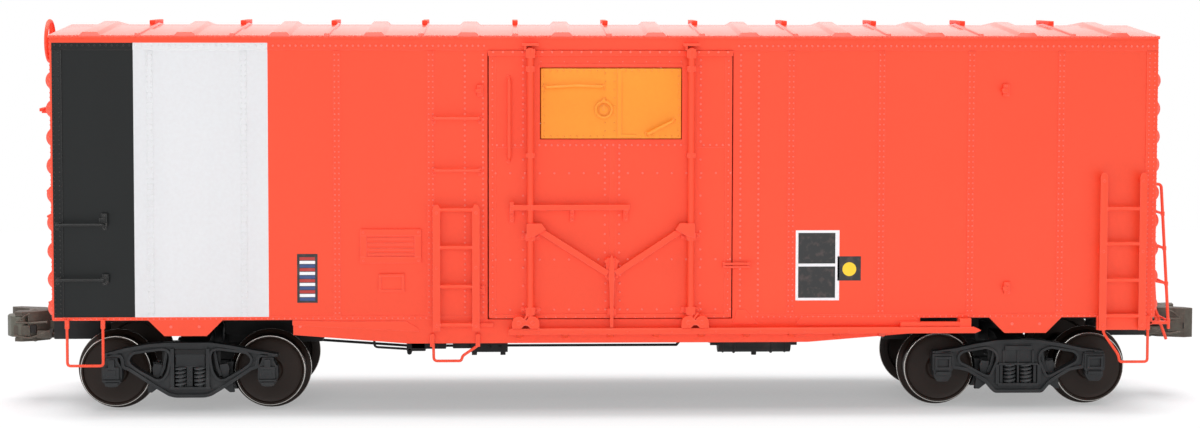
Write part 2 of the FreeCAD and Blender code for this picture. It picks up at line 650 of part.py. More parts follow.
def end_ladder_shape():
    """A light wire ladder at the corner of the A end, leaning out towards its foot."""
    outer = -HALF_WIDTH + 2.5
    inner = outer + 6.2
    base = d.side_bottom
    top = (HALF_LENGTH + 1.4, base + 17.7)
    bottom = (HALF_LENGTH + 2.7, base - 2.0)
    pieces = []
    for y in (outer, inner):
        pieces.append(rod([(HALF_LENGTH, y, top[1]), (top[0], y, top[1]), (bottom[0], y, bottom[1])],
                          d.wire_radius + 0.06))
    for height in (base + 13.7, base + 9.0, base + 4.2, base - 0.9):
        share = (top[1] - height) / (top[1] - bottom[1])
        x = top[0] + share * (bottom[0] - top[0])
        pieces.append(rod([(x, outer, height), (x, inner, height)], d.wire_radius))
        if height > base:
            pieces.append(rod([(HALF_LENGTH, outer, height + 0.5), (x, outer, height)], d.wire_radius))
    pieces.append(block(HALF_LENGTH, bottom[0], outer - 0.4, outer + 0.6, base - 1.4, base - 0.4))
    pieces.append(block(HALF_LENGTH, HALF_LENGTH + 0.5, outer - 0.4, outer + 0.6, base - 1.4, base + 0.7))
    return joined(pieces).cut(end_a.Shape)


end_ladder_a = feature("end_ladder_a", end_ladder_shape())
turned_copy(end_ladder_a, "end_ladder_b")

STEP_TREAD = d.side_bottom - d.step_drop
STEPS = (
    # corner points along the side and up: under the B end, the door ladder and the A end
    ((-HALF_LENGTH + 1.9, d.side_bottom), (-HALF_LENGTH + 1.9, STEP_TREAD), (-HALF_LENGTH + 6.6, STEP_TREAD),
     (-HALF_LENGTH + 6.6, d.side_bottom)),
    ((-23.5, STEP_TREAD + 2.6), (-23.4, STEP_TREAD + 0.1), (-19.9, STEP_TREAD + 0.1), (-19.6, STEP_TREAD + 0.9),
     (-17.2, STEP_TREAD + 2.6)),
    ((HALF_LENGTH - 7.2, d.side_bottom), (HALF_LENGTH - 6.9, d.side_bottom - 2.1),
     (HALF_LENGTH - 4.8, STEP_TREAD + 0.9), (HALF_LENGTH - 4.7, STEP_TREAD),
     (HALF_LENGTH - 0.9, STEP_TREAD), (HALF_LENGTH - 0.9, d.side_bottom)),
)
step_y = -HALF_WIDTH - d.stirrup_radius
steps = [rod([(x, step_y, z) for x, z in row], d.stirrup_radius) for row in STEPS]
step_pads = [block(HALF_LENGTH - 7.9, HALF_LENGTH - 0.6, -HALF_WIDTH - 2 * d.stirrup_radius, -HALF_WIDTH,
                   d.side_bottom - 1.7, d.side_bottom + 0.3)]
steps_right = feature("steps_right", Part.makeCompound(steps[:2] + [joined(steps[2:] + step_pads)]))

# ---------------------------------------------------------------- placard boards
PLACARDS = (
    # left, right, bottom, top
    (-32.95, -24.8, 20.8, 25.4),
    (-30.5, -27.05, 17.0, 19.4),
)
boards = [block(left, right, -HALF_WIDTH - 0.3, -HALF_WIDTH, low, high) for left, right, low, high in PLACARDS]
boards_right = feature("placard_boards_right", Part.makeCompound(boards))

# ---------------------------------------------------------------- hand brake
def brake_wheel_shape():
    """Rim, spokes, hub and shaft of the brake wheel on the B end."""
    x = -HALF_LENGTH - d.brake_wheel_stand
    centre = Vector(x, d.brake_wheel_side, BRAKE_AXIS)
    rim_radius = d.brake_wheel_radius - d.brake_wheel_wire
    pieces = [Part.makeTorus(rim_radius, d.brake_wheel_wire, centre, Vector(1, 0, 0))]
    pieces.append(Part.makeCylinder(0.75, 0.9, centre - Vector(0.45, 0, 0), Vector(1, 0, 0)))
    for i in range(5):
        angle = math.radians(90 + i * 72)
        way = Vector(0, math.cos(angle), math.sin(angle))
        pieces.append(Part.makeCylinder(0.24, rim_radius, centre, way))
    return joined(pieces)


feature("brake_wheel", brake_wheel_shape())
wheel_back = -HALF_LENGTH - d.brake_wheel_stand + 0.45
housing = block(wheel_back + d.brake_shaft, -HALF_LENGTH, d.brake_wheel_side - d.brake_housing_half,
                d.brake_wheel_side + d.brake_housing_half, BRAKE_AXIS - d.brake_housing_below,
                BRAKE_AXIS + d.brake_housing_above)
shaft = Part.makeCylinder(0.45, d.brake_shaft, Vector(wheel_back, d.brake_wheel_side, BRAKE_AXIS),
                          Vector(1, 0, 0))
chain_x = -HALF_LENGTH - d.chain_rod_stand
chain_rod = rod([(chain_x, d.brake_wheel_side, BRAKE_AXIS - d.brake_housing_below + 0.2),
                 (chain_x, d.brake_wheel_side, d.side_bottom + 1.1)], d.rod_radius)
feature("brake_housing", joined([housing, shaft, chain_rod]).cut(end_b.Shape))


def brake_step_shape():
    """A slatted step on two braces below the brake wheel."""
    x0 = -HALF_LENGTH - d.brake_step_depth
    y0 = d.brake_wheel_side - 7.5
    y1 = y0 + d.brake_step_width
    low = BRAKE_AXIS - d.brake_step_drop
    pieces = [block(x0, -HALF_LENGTH, y0, y1, low, low + 0.5)]
    slot = block(chain_x - 0.5, chain_x + 0.5, d.brake_wheel_side - 0.5, d.brake_wheel_side + 0.5,
                 low - 1, low + 1)
    for y in (y0 + 0.3, y1 - 0.9):
        brace = [(x0 + 0.3, y, low), (x0 + 1.1, y, low), (-HALF_LENGTH, y, low - 1.6),
                 (-HALF_LENGTH, y, low - 2.2)]
        pieces.append(prism(brace, (0, 0.6, 0)))
    return joined(pieces).cut(slot).cut(end_b.Shape)


feature("brake_step", brake_step_shape())

# ---------------------------------------------------------------- air brake under the floor
def air_brake():
    """Reservoir, brake cylinder and control valve hung from the underframe, and their rods."""
    top = d.side_bottom
    tank_z = top - d.tank_drop
    tank = Part.makeCylinder(d.tank_radius, d.tank_length, Vector(d.tank_start, -d.tank_side, tank_z),
                             Vector(1, 0, 0))
    straps = [block(x - 0.4, x + 0.4, -d.tank_side - 0.5, -d.tank_side + 0.5, tank_z, top)
              for x in (d.tank_start + 2.2, d.tank_start + 7.3)]
    drain = Part.makeCylinder(0.35, 0.8,
                              Vector(d.tank_start + 5.0, -d.tank_side, tank_z - d.tank_radius - 0.4))
    unions = Part.makeCylinder(d.union_radius, d.tank_length + 2 * d.union_proud,
                               Vector(d.tank_start - d.union_proud, -d.tank_side, tank_z - 0.75), Vector(1, 0, 0))
    feature("air_reservoir", joined([tank, drain, unions] + straps))
    low, high = top - d.valve_drop, top - 2.4
    feet = [block(x, x + 0.7, -9.0, -6.6, low - 0.5, low) for x in (-18.3, -14.4)]
    valve = [block(-18.4, -13.4, -9.6, -6.0, low, high), block(-17.0, -15.0, -8.6, -7.0, high, top)] + feet
    feature("control_valve", joined(valve))
    cyl_y = d.cylinder_side
    cyl_z = top - d.cylinder_drop
    left = d.cylinder_end - d.cylinder_length
    barrel = Part.makeCylinder(d.cylinder_radius, d.cylinder_length, Vector(left, cyl_y, cyl_z), Vector(1, 0, 0))
    head = Part.makeCylinder(d.cylinder_radius + 0.3, 0.8, Vector(d.cylinder_end - 0.4, cyl_y, cyl_z),
                             Vector(1, 0, 0))
    bracket = block(left + 3.0, left + 5.4, cyl_y - 0.7, cyl_y + 0.7, cyl_z, top)
    push = Part.makeCylinder(0.4, 3.4, Vector(left - 3.0, cyl_y, cyl_z), Vector(1, 0, 0))
    feature("brake_cylinder", joined([barrel, head, bracket, push]))
    low = d.rod_height
    lever_x = -27.0
    rods = [rod([(-43.0, 1.6, 10.6), (-41.0, 1.6, low + 1.0), (lever_x, 1.6, low), (10.4, 1.6, low),
                 (12.6, 1.6, 9.6)], d.rod_radius),
            rod([(lever_x, -4.2, low), (lever_x, cyl_y, low)], d.rod_radius + 0.15),
            rod([(lever_x, cyl_y, low), (left - 4.9, cyl_y, cyl_z), (left - 3.0, cyl_y, cyl_z)], d.rod_radius)]
    hangers = [block(lever_x - 0.4, lever_x + 0.4, y, y + 0.6, low, d.centre_sill_bottom) for y in (-3.35, 2.75)]
    feature("brake_rods", joined(rods + hangers))


air_brake()

# ---------------------------------------------------------------- draft gear and couplers
def draft_box_shape():
    """The A end's box: open at its mouth, with the post that the coupler swings on."""
    z = BOX_BOTTOM
    shell = block(BOX_INNER, BOX_FRONT, -d.box_half, d.box_half, z, BOX_TOP)
    cavity = block(BOX_INNER + d.box_wall, BOX_FRONT - d.box_wall, -d.box_half + d.box_wall,
                   d.box_half - d.box_wall, z + d.box_wall, BOX_TOP - d.box_wall)
    mouth = block(BOX_FRONT - 2 * d.box_wall, BOX_FRONT + 1, -2.3, 2.3, z + d.box_wall, BOX_TOP - d.box_wall)
    post = Part.makeCylinder(d.pivot_post_radius, BOX_TOP - z - d.box_wall,
                             Vector(COUPLER_PIVOT, 0, z + d.box_wall / 2))
    return joined([shell.cut(cavity).cut(mouth), post])


draft_box_a = feature("draft_box_a", draft_box_shape())
turned_copy(draft_box_a, "draft_box_b")

KNUCKLE_PIN = (COUPLER_REACH - 2.1, 1.9)


def coupler_shape():
    """Shank, head with its guard arm, and the two lugs that hold the knuckle pin."""
    reach = COUPLER_REACH
    low = d.coupler_height - d.head_height / 2
    shank_low = d.coupler_height - d.shank_height / 2
    eye = Part.makeCylinder(1.45, d.shank_height, Vector(COUPLER_PIVOT, 0, shank_low))
    bar = block(COUPLER_PIVOT, reach - 5.0, -d.shank_half, d.shank_half, shank_low, shank_low + d.shank_height)
    bore = Part.makeCylinder(d.pivot_post_radius + d.pin_clearance, 4, Vector(COUPLER_PIVOT, 0, shank_low - 1))
    head = [(reach - 5.9, -1.1, low), (reach - 4.7, -2.2, low), (reach - 1.2, -3.1, low),
            (reach, -2.7, low), (reach - 0.9, -1.7, low), (reach - 2.7, -0.9, low),
            (reach - 3.1, 0.6, low), (reach - 1.6, 1.2, low), (reach - 1.4, 2.7, low),
            (reach - 2.4, 2.95, low), (reach - 4.3, 2.3, low), (reach - 5.9, 1.1, low)]
    solid = prism(head, (0, 0, d.head_height))
    gap = (d.head_height - d.knuckle_height) / 2 - d.pin_clearance
    pocket = block(reach - 3.2, reach + 1, 0.45, 4, low + gap, low + d.head_height - gap)
    pin = Part.makeCylinder(d.knuckle_pin_radius, d.head_height, Vector(KNUCKLE_PIN[0], KNUCKLE_PIN[1], low))
    return joined([bar, eye, solid.cut(pocket), pin]).cut(bore)


def knuckle_shape():
    """The hooked jaw that closes across the throat of the coupler."""
    low = d.coupler_height - d.knuckle_height / 2
    x, y = KNUCKLE_PIN
    ring = Part.makeCylinder(0.95, d.knuckle_height, Vector(x, y, low))
    jaw = [(x - 0.35, y + 0.85, low), (x + 1.2, y + 0.6, low), (x + 1.95, y - 0.6, low),
           (x + 2.05, y - 1.9, low), (x + 1.5, y - 2.3, low), (x + 0.95, y - 1.7, low), (x - 0.1, y - 0.9, low)]
    bore = Part.makeCylinder(d.knuckle_pin_radius + d.pin_clearance, d.knuckle_height + 2, Vector(x, y, low - 1))
    return joined([ring, prism(jaw, (0, 0, d.knuckle_height))]).cut(bore)


def cut_lever_shape():
    """The bent rod that lifts the coupler's pin, with its handle at the corner of the A end."""
    out = HALF_LENGTH + 1.1
    wire = rod([(out + 1.8, -12.6, 9.6), (out, -13.0, 14.2), (out, -3.0, 14.2), (out + 3.0, -1.2, 13.2)],
               d.wire_radius + 0.08)
    eyes = [block(HALF_LENGTH, out + 0.3, y, y + 0.7, 13.8, 14.6) for y in (-12.4, -5.0)]
    return joined([wire] + eyes).cut(end_a.Shape)


for label, shape in (("coupler", coupler_shape()), ("knuckle", knuckle_shape()), ("cut_lever", cut_lever_shape())):
    turned_copy(feature(label + "_a", shape), label + "_b")

# ---------------------------------------------------------------- trucks
FRAME_HALF = [
    # sideframe's outline from its bottom centre round to the top, along the car and up
    (3.0, 2.3),
    (4.2, 3.85),
    (6.9, 5.35),
    (9.15, 5.6),
    (9.15, 7.8),
    (11.6, 7.8),
    (11.6, 8.2),
    (8.8, 8.5),
    (6.0, 9.1),
    (2.9, 9.7),
]
FRAME_WINDOW = [(3.1, 7.0), (3.4, 8.1), (4.5, 8.5), (7.7, 7.9), (8.2, 7.4), (8.0, 6.7), (4.2, 4.6)]
BOLSTER_WINDOW = [(-2.1, 6.3), (-2.1, 8.75), (2.1, 8.75), (2.1, 6.3),
                  (2.6, 6.3), (2.6, 3.6), (-2.6, 3.6), (-2.6, 6.3)]


def journal_box(axle_x, inside, outside, round_lid):
    """A box over one axle end, with a round or a square lid."""
    half = d.box_half_width
    foot = AXLE_HEIGHT - 1.6
    head = AXLE_HEIGHT + 2.45
    shell = [(axle_x - half, inside, head), (axle_x + half, inside, head), (axle_x + half, inside, foot + 0.9),
             (axle_x + half / 2, inside, foot), (axle_x - half / 2, inside, foot),
             (axle_x - half, inside, foot + 0.9)]
    body = prism(shell, (0, outside - d.box_step - inside, 0))
    if round_lid:
        lid = Part.makeCylinder(d.lid_half, d.box_proud, Vector(axle_x, outside - d.box_proud, AXLE_HEIGHT + 0.1),
                                Vector(0, 1, 0))
    else:
        lid = block(axle_x - d.lid_half, axle_x + d.lid_half, outside - d.box_proud, outside,
                    foot + 0.5, head - 0.3)
    return [body, lid]


def sideframe_shape(letter):
    """One cast sideframe at -Y, with its journal boxes, bearing pits and springs."""
    loops = [mirrored_loop(FRAME_HALF), FRAME_WINDOW, [(-x, z) for x, z in FRAME_WINDOW], BOLSTER_WINDOW]
    inside = -FRAME_INSIDE
    outside = -FRAME_OUTSIDE
    plates = [prism([(x, inside, z) for x, z in loop], (0, outside - inside, 0)) for loop in loops]
    frame = plates[0]
    for window in plates[1:]:
        frame = frame.cut(window)
    pieces = [frame]
    for end in (-1, 1):
        pieces += journal_box(end * HALF_WHEELBASE, inside, outside, letter == "b")
    for x in (-1.15, 1.15):
        middle = (inside + outside) / 2
        pieces.append(Part.makeCylinder(d.spring_radius * 0.75, 3.0, Vector(x, middle, 3.4)))
        for coil in range(4):
            ring = Part.makeTorus(d.spring_radius * 0.75, d.spring_radius * 0.3,
                                  Vector(x, middle, 3.95 + coil * 0.62))
            pieces.append(ring)
    pieces.append(block(-2.3, 2.3, outside, inside, 6.05, 6.35))
    pieces.append(block(-2.6, 2.6, inside - 0.5, inside, 3.5, 6.2))
    shape = joined(pieces)
    for end in (-1, 1):
        pit = Vector(end * HALF_WHEELBASE, inside + 0.3, AXLE_HEIGHT)
        tip_y = AXLE_TIP + d.pin_clearance * 2
        cone_start = CONE_START + d.pin_clearance * 2
        bore_radius = d.journal_radius + d.pin_clearance
        straight = Part.makeCylinder(bore_radius, cone_start - FRAME_INSIDE + 0.3, pit, Vector(0, -1, 0))
        point = Part.makeCone(bore_radius, 0.0, tip_y - cone_start,
                              Vector(end * HALF_WHEELBASE, -cone_start, AXLE_HEIGHT), Vector(0, -1, 0))
        shape = shape.cut(straight).cut(point)
    return shape


def truck_bolster_shape():
    """The cross member: arched beam, ends through the sideframes, centre plate and pin hole."""
    beam = [(0, -FRAME_INSIDE, 6.5), (0, FRAME_INSIDE, 6.5), (0, FRAME_INSIDE, 8.6), (0, 6.0, 9.7),
            (0, -6.0, 9.7), (0, -FRAME_INSIDE, 8.6)]
    beam = [(-2.0, y, z) for x, y, z in beam]
    ends = block(-1.9, 1.9, -FRAME_OUTSIDE + 0.3, FRAME_OUTSIDE - 0.3, 6.5, 8.5)
    plate = Part.makeCylinder(d.centre_plate_radius, d.bolster_bearing - 8.0, Vector(0, 0, 8.0))
    hole = Part.makeCylinder(d.kingpin_radius + d.pin_clearance, 12, Vector(0, 0, 2))
    return joined([prism(beam, (4.0, 0, 0)), ends, plate]).cut(hole)


def brake_beam(end):
    """One beam across the truck with a curved shoe against each wheel's tread."""
    axle_x = end * HALF_WHEELBASE
    shoe_gap = 0.25
    inner = d.tread_radius + shoe_gap
    thickness = 0.9
    shoes = []
    flange_edge = d.back_to_back / 2 + d.flange_width + 0.15
    for side in (-1, 1):
        y0 = side * flange_edge if side > 0 else side * (flange_edge + 1.6)
        ring = Part.makeCylinder(inner + thickness, 1.6, Vector(axle_x, y0, AXLE_HEIGHT), Vector(0, 1, 0))
        ring = ring.cut(Part.makeCylinder(inner, 1.6, Vector(axle_x, y0, AXLE_HEIGHT), Vector(0, 1, 0)))
        zone = block(min(end * 3.6, end * 6.6), max(end * 3.6, end * 6.6), y0, y0 + 1.6, 2.9, 6.6)
        shoes.append(ring.common(zone))
    low = 3.9
    x1 = end * (HALF_WHEELBASE - d.flange_radius - shoe_gap)
    x0 = x1 - end * 1.2
    beam = block(min(x0, x1), max(x0, x1), -FRAME_INSIDE, FRAME_INSIDE, low, low + 0.9)
    return joined([beam] + shoes)


def kingpin_shape():
    """Round head screw up through the truck bolster into the body bolster."""
    head = Part.makeCylinder(2.1, 0.8, Vector(0, 0, 5.7))
    shank = Part.makeCylinder(d.kingpin_radius, d.bolster_bearing + 1.9 - 6.0, Vector(0, 0, 6.0))
    return joined([head, shank])


def wheelset_profile():
    """Half section of an axle with its two wheels, as radius and distance from the middle."""
    back = d.back_to_back / 2
    front = back + d.wheel_width
    root = back + d.flange_width
    half = [
        (d.axle_radius, back - 0.1),
        (1.5, back - 0.1),
        (1.7, back + 1.35),
        (3.95, back + 1.35),
        (4.2, back),
        (d.flange_radius - 0.35, back),
        (d.flange_radius, back + 0.2),
        (d.flange_radius, back + 0.4),
        (d.tread_radius, root),
        (d.tread_radius - 0.05, front),
        (4.25, front),
        (4.05, front - 0.7),
        (1.7, front - 0.7),
        (1.35, HUB_FACE),
        (d.journal_radius, HUB_FACE),
        (d.journal_radius, CONE_START),
        (0.0, AXLE_TIP),
    ]
    return half


for end, letter in ((-1, "b"), (1, "a")):
    near = sideframe_shape(letter)
    far = near.copy()
    far.rotate(Vector(0, 0, 0), Vector(0, 0, 1), 180)
    truck = (
        ("sideframes", Part.makeCompound([near, far])),
        ("truck_bolster", truck_bolster_shape()),
        ("brake_beams", Part.makeCompound([brake_beam(-1), brake_beam(1)])),
        ("kingpin", kingpin_shape()),
    )
    for label, shape in truck:
        feature(f"{label}_{letter}", shape, along=end * TRUCK_CENTRE)
    for place, name in ((-1, "1"), (1, "2")):
        number = {"b1": "1", "b2": "2", "a1": "3", "a2": "4"}[letter + name]
        body = doc.addObject("PartDesign::Body", "wheelset_" + number)
        half = wheelset_profile()
        profile = [(radius, y) for radius, y in half] + [(radius, -y) for radius, y in reversed(half)]
        sketch = outline_sketch(body, "XY_Plane", [profile], f"wheelset_{number}_section")
        turn = body.newObject("PartDesign::Revolution", f"wheelset_{number}_turned")
        turn.Profile = sketch
        turn.ReferenceAxis = (sketch, ["V_Axis"])
        turn.Angle = 360.0
        pivot = "-body_length / 2 + truck_inset" if end < 0 else "body_length / 2 - truck_inset"
        offset = "- wheelbase / 2" if place < 0 else "+ wheelbase / 2"
        bind(body, x=f"{pivot} {offset}", z="flange_radius")
        keep(body, "wheelset_" + number)

doc.recompute()

# ---------------------------------------------------------------- the car's left side
for source, label in ((side_right, "side_left"), (door_right_part, "door_left"), (hatch_right, "hatch_left"),
                      (gear_right, "door_gear_left"), (track_right, "door_track_left"),
                      (ladders_right, "ladders_left"), (grabs_right, "grab_irons_left"),
                      (steps_right, "steps_left"), (boards_right, "placard_boards_left")):
    turned_copy(source, label)

doc.recompute()
for thing in doc.Objects:
    faults = {"Invalid", "Error"} & set(thing.State)
    if faults:
        raise RuntimeError(f"{thing.Label}: {sorted(faults)}")
for thing in SUB_PARTS:
    if thing.Shape.isNull() or not thing.Shape.isValid():
        raise RuntimeError(f"{thing.Label}: its shape is missing or not valid")
for thing in SUB_PARTS:
    thing.Shape.exportStep(f"parts/{thing.Label}.step")
    bounds = thing.Shape.BoundBox
    print(f"{thing.Label:24s} solids {len(thing.Shape.Solids):2d}  x {bounds.XMin:7.2f} {bounds.XMax:7.2f}"
          f"  y {bounds.YMin:7.2f} {bounds.YMax:7.2f}  z {bounds.ZMin:6.2f} {bounds.ZMax:6.2f}"
          f"  volume {thing.Shape.Volume:9.2f}")
print(len(SUB_PARTS), "sub-parts")
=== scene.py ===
import math
import bmesh
import bpy
from mathutils import Matrix, Vector
from mathutils.geometry import tessellate_polygon


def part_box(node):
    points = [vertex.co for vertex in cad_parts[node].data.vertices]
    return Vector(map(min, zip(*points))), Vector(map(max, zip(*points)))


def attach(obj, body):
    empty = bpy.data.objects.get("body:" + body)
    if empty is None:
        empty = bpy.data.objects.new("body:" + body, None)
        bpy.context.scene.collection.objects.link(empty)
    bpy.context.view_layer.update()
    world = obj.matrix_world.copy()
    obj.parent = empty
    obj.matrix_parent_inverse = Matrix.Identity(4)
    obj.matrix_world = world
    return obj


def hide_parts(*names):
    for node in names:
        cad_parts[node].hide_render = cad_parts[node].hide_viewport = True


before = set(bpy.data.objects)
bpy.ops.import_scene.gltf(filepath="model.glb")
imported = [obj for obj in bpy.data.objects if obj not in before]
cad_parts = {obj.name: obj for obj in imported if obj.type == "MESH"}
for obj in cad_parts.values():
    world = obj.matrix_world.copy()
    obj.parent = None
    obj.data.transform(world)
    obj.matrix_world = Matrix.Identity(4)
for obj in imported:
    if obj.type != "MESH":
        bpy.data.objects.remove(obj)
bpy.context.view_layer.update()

# ---------------------------------------------------------------- car sides
# The two long walls of the body, moulded in plastic with the seams, battens and rivets of a
# welded steel side, then sprayed orange-red. A black panel and a pale grey band are printed
# over the rivets at the left-hand end of each side.
MM = 0.001                       # sizes in this file are millimetres, and pieces end in metres
HALF_TURN = Matrix.Rotation(math.pi, 3, "Z")
CHORD_PROUD = 0.15
SHARP_EDGE = math.radians(28.0)  # edges sharper than this are rounded off in the mould
SEAMS = (-60.4, -48.1, -35.85, -23.45, 24.4, 36.5, 48.5, 60.6)
POST_RIVETS = (-19.05, -16.65, 17.55, 19.95)
RIVET_PITCH = 0.72
BAND_EDGES = (-73.2, -62.6, -45.0)        # black panel from the first to the second, pale to the third
BAND_HEIGHTS = (13.75, 50.05)
ORANGE_RED = (0.93, 0.078, 0.030)
PANEL_BLACK = (0.0065, 0.008, 0.0082)
BAND_GREY = (0.735, 0.74, 0.75)


def corners(node):
    """Lowest and highest corner of a construction part, in mm."""
    low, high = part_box(node)
    return low / MM, high / MM


def new_material(name):
    """An empty node material and its shader."""
    made = bpy.data.materials.new(name)
    made.use_nodes = True
    return made, made.node_tree, made.node_tree.nodes["Principled BSDF"]


def link(tree, *ends):
    """Join output and input sockets, given in pairs."""
    for start, end in zip(ends[::2], ends[1::2]):
        tree.links.new(start, end)


def maths(tree, operation, first, second=0.0, third=0.0):
    """A maths node on sockets or numbers."""
    node = tree.nodes.new("ShaderNodeMath")
    node.operation = operation
    for socket, value in zip(node.inputs, (first, second, third)):
        if isinstance(value, (int, float)):
            socket.default_value = value
        else:
            tree.links.new(value, socket)
    return node.outputs[0]


def noise_at(tree, size, detail=3.0, stretch=(1.0, 1.0, 1.0)):
    """Noise in object space whose grains are about size mm."""
    place = tree.nodes.new("ShaderNodeTexCoord")
    scaled = tree.nodes.new("ShaderNodeMapping")
    scaled.inputs["Scale"].default_value = stretch
    grain = tree.nodes.new("ShaderNodeTexNoise")
    grain.inputs["Scale"].default_value = 1.0 / (size * MM)
    grain.inputs["Detail"].default_value = detail
    link(tree, place.outputs["Object"], scaled.inputs["Vector"], scaled.outputs[0], grain.inputs["Vector"])
    return grain.outputs["Fac"]


def blend_colour(tree, factor, first, second, kind="MIX"):
    """One colour laid over another by a factor, each a socket or a plain colour."""
    mix = tree.nodes.new("ShaderNodeMix")
    mix.data_type = "RGBA"
    mix.blend_type = kind
    for socket, value in ((mix.inputs[0], factor), (mix.inputs[6], first), (mix.inputs[7], second)):
        if isinstance(value, tuple):
            socket.default_value = (*value, 1.0)
        elif isinstance(value, float):
            socket.default_value = value
        else:
            tree.links.new(value, socket)
    return mix.outputs[2]


def spread(tree, value, low, high):
    """A 0 to 1 value spread between two numbers."""
    node = tree.nodes.new("ShaderNodeMapRange")
    node.inputs["To Min"].default_value = low
    node.inputs["To Max"].default_value = high
    tree.links.new(value, node.inputs["Value"])
    return node.outputs[0]


def scaled_colour(colour, share):
    """A lighter or darker shade of a colour."""
    return tuple(min(1.0, part * share) for part in colour)


def worn_and_highlit_edges(tree, width, amount):
    """How close a point lies to an outside edge, where handling rubs the finish and where a painted
    highlight stands for the light that catches it.
    """
    rounded = tree.nodes.new("ShaderNodeBevel")
    rounded.samples = 4
    rounded.inputs["Radius"].default_value = width * MM
    shape = tree.nodes.new("ShaderNodeNewGeometry")
    facing = tree.nodes.new("ShaderNodeVectorMath")
    facing.operation = "DOT_PRODUCT"
    link(tree, rounded.outputs[0], facing.inputs[0], shape.outputs["Normal"], facing.inputs[1])
    turned_by = maths(tree, "SUBTRACT", 1.0, facing.outputs["Value"])
    edge = maths(tree, "MINIMUM", maths(tree, "MULTIPLY", turned_by, 6.0), 1.0)
    patches = spread(tree, noise_at(tree, 2.2), 0.35, 1.0)
    return maths(tree, "MULTIPLY", maths(tree, "MULTIPLY", edge, patches), amount)


def sprayed(name, colour, bands=False, painted_highlight=0.0, varnish=0.0):
    """Satin model paint: faint clouding, orange peel and paler edges where handling rubs the paint, with a
    painted highlight on them. A painted highlight can also lighten the whole paint.
    """
    material, tree, shader = new_material(name)
    cloud = spread(tree, noise_at(tree, 26.0, 4.0), 0.0, 1.0)
    tone = blend_colour(tree, cloud, scaled_colour(colour, 0.94), scaled_colour(colour, 1.05))
    # A painted highlight: the whole paint screened paler, so that rivet heads look lit.
    if painted_highlight:
        tone = blend_colour(tree, painted_highlight, tone, (1.0, 0.93, 0.9), "SCREEN")
    if bands:
        tone = printed_bands(tree, tone)
    speck = spread(tree, noise_at(tree, 0.5, 2.0), 0.0, 0.10)
    tone = blend_colour(tree, speck, tone, (0.45, 0.16, 0.12), "MULTIPLY")
    # Paler edges: handling rubs them, and a painted highlight lies over them.
    bright_tone = blend_colour(tree, 0.18, tone, (1.0, 0.9, 0.85), "SCREEN")
    tone = blend_colour(tree, worn_and_highlit_edges(tree, 0.12, 0.6), tone, bright_tone)
    rough = spread(tree, noise_at(tree, 5.0), 0.36, 0.52)
    bump = tree.nodes.new("ShaderNodeBump")
    bump.inputs["Strength"].default_value = 0.35
    bump.inputs["Distance"].default_value = 0.02 * MM
    link(tree, tone, shader.inputs["Base Color"], rough, shader.inputs["Roughness"],
         noise_at(tree, 0.32, 2.0), bump.inputs["Height"], bump.outputs[0], shader.inputs["Normal"])
    shader.inputs["Specular IOR Level"].default_value = 0.32
    if varnish:
        shader.inputs["Coat Weight"].default_value = 1.0
        shader.inputs["Coat IOR"].default_value = varnish
        shader.inputs["Coat Roughness"].default_value = 0.2
    return material


def printed_bands(tree, under):
    """The black end panel and the pale band beside it, at the left-hand end of either side."""
    place = tree.nodes.new("ShaderNodeTexCoord")
    axes = tree.nodes.new("ShaderNodeSeparateXYZ")
    link(tree, place.outputs["Object"], axes.inputs[0])
    side = maths(tree, "SIGN", axes.outputs["Y"])
    along = maths(tree, "MULTIPLY", maths(tree, "MULTIPLY", axes.outputs["X"], side), -1.0)
    within = [maths(tree, "GREATER_THAN", axes.outputs["Z"], BAND_HEIGHTS[0] * MM),
              maths(tree, "LESS_THAN", axes.outputs["Z"], BAND_HEIGHTS[1] * MM),
              maths(tree, "GREATER_THAN", maths(tree, "ABSOLUTE", axes.outputs["Y"]), 16.6 * MM),
              maths(tree, "GREATER_THAN", along, BAND_EDGES[0] * MM)]
    inside = within[0]
    for test in within[1:]:
        inside = maths(tree, "MULTIPLY", inside, test)
    streaks = spread(tree, noise_at(tree, 7.0, 5.0, (1.0, 1.0, 0.12)), 0.0, 1.0)
    pale = blend_colour(tree, streaks, scaled_colour(BAND_GREY, 0.96), scaled_colour(BAND_GREY, 1.05))
    black = blend_colour(tree, streaks, scaled_colour(PANEL_BLACK, 0.8), scaled_colour(PANEL_BLACK, 1.25))
    in_pale = maths(tree, "MULTIPLY", inside, maths(tree, "LESS_THAN", along, BAND_EDGES[2] * MM))
    in_black = maths(tree, "MULTIPLY", inside, maths(tree, "LESS_THAN", along, BAND_EDGES[1] * MM))
    return blend_colour(tree, in_black, blend_colour(tree, in_pale, under, pale), black)


def slab(bm, x, y, z, soft=0.05):
    """A block between three pairs of planes, given in either order, with its edges eased."""
    made = bmesh.ops.create_cube(bm, size=1.0)["verts"]
    for vertex in made:
        spans = zip(vertex.co, map(sorted, (x, y, z)))
        vertex.co = Vector([low + (share + 0.5) * (high - low) for share, (low, high) in spans])
    if soft:
        edges = {edge for vertex in made for edge in vertex.link_edges}
        bmesh.ops.bevel(bm, geom=list(edges), offset=soft, segments=2, profile=0.6, affect="EDGES")


def rivets(bm, places, radius=0.18, height=0.14, out=(0, -1, 0)):
    """Round rivet heads at places on a face that looks outwards, sideways unless told."""
    spin = Vector(out).to_track_quat("Z", "Y").to_matrix()
    rings = ((radius, -0.03), (radius * 0.72, height * 0.7))
    for place in places:
        loops = []
        for size, lift in rings:
            loop = []
            for step in range(6):
                turn = step * math.pi / 3
                offset = Vector((size * math.cos(turn), size * math.sin(turn), lift))
                loop.append(bm.verts.new(Vector(place) + spin @ offset))
            loops.append(loop)
        top = bm.verts.new(Vector(place) + spin @ Vector((0, 0, height)))
        bm.faces.new(reversed(loops[0]))
        for step in range(6):
            after = (step + 1) % 6
            bm.faces.new((loops[0][step], loops[0][after], loops[1][after], loops[1][step]))
            bm.faces.new((loops[1][step], loops[1][after], top))


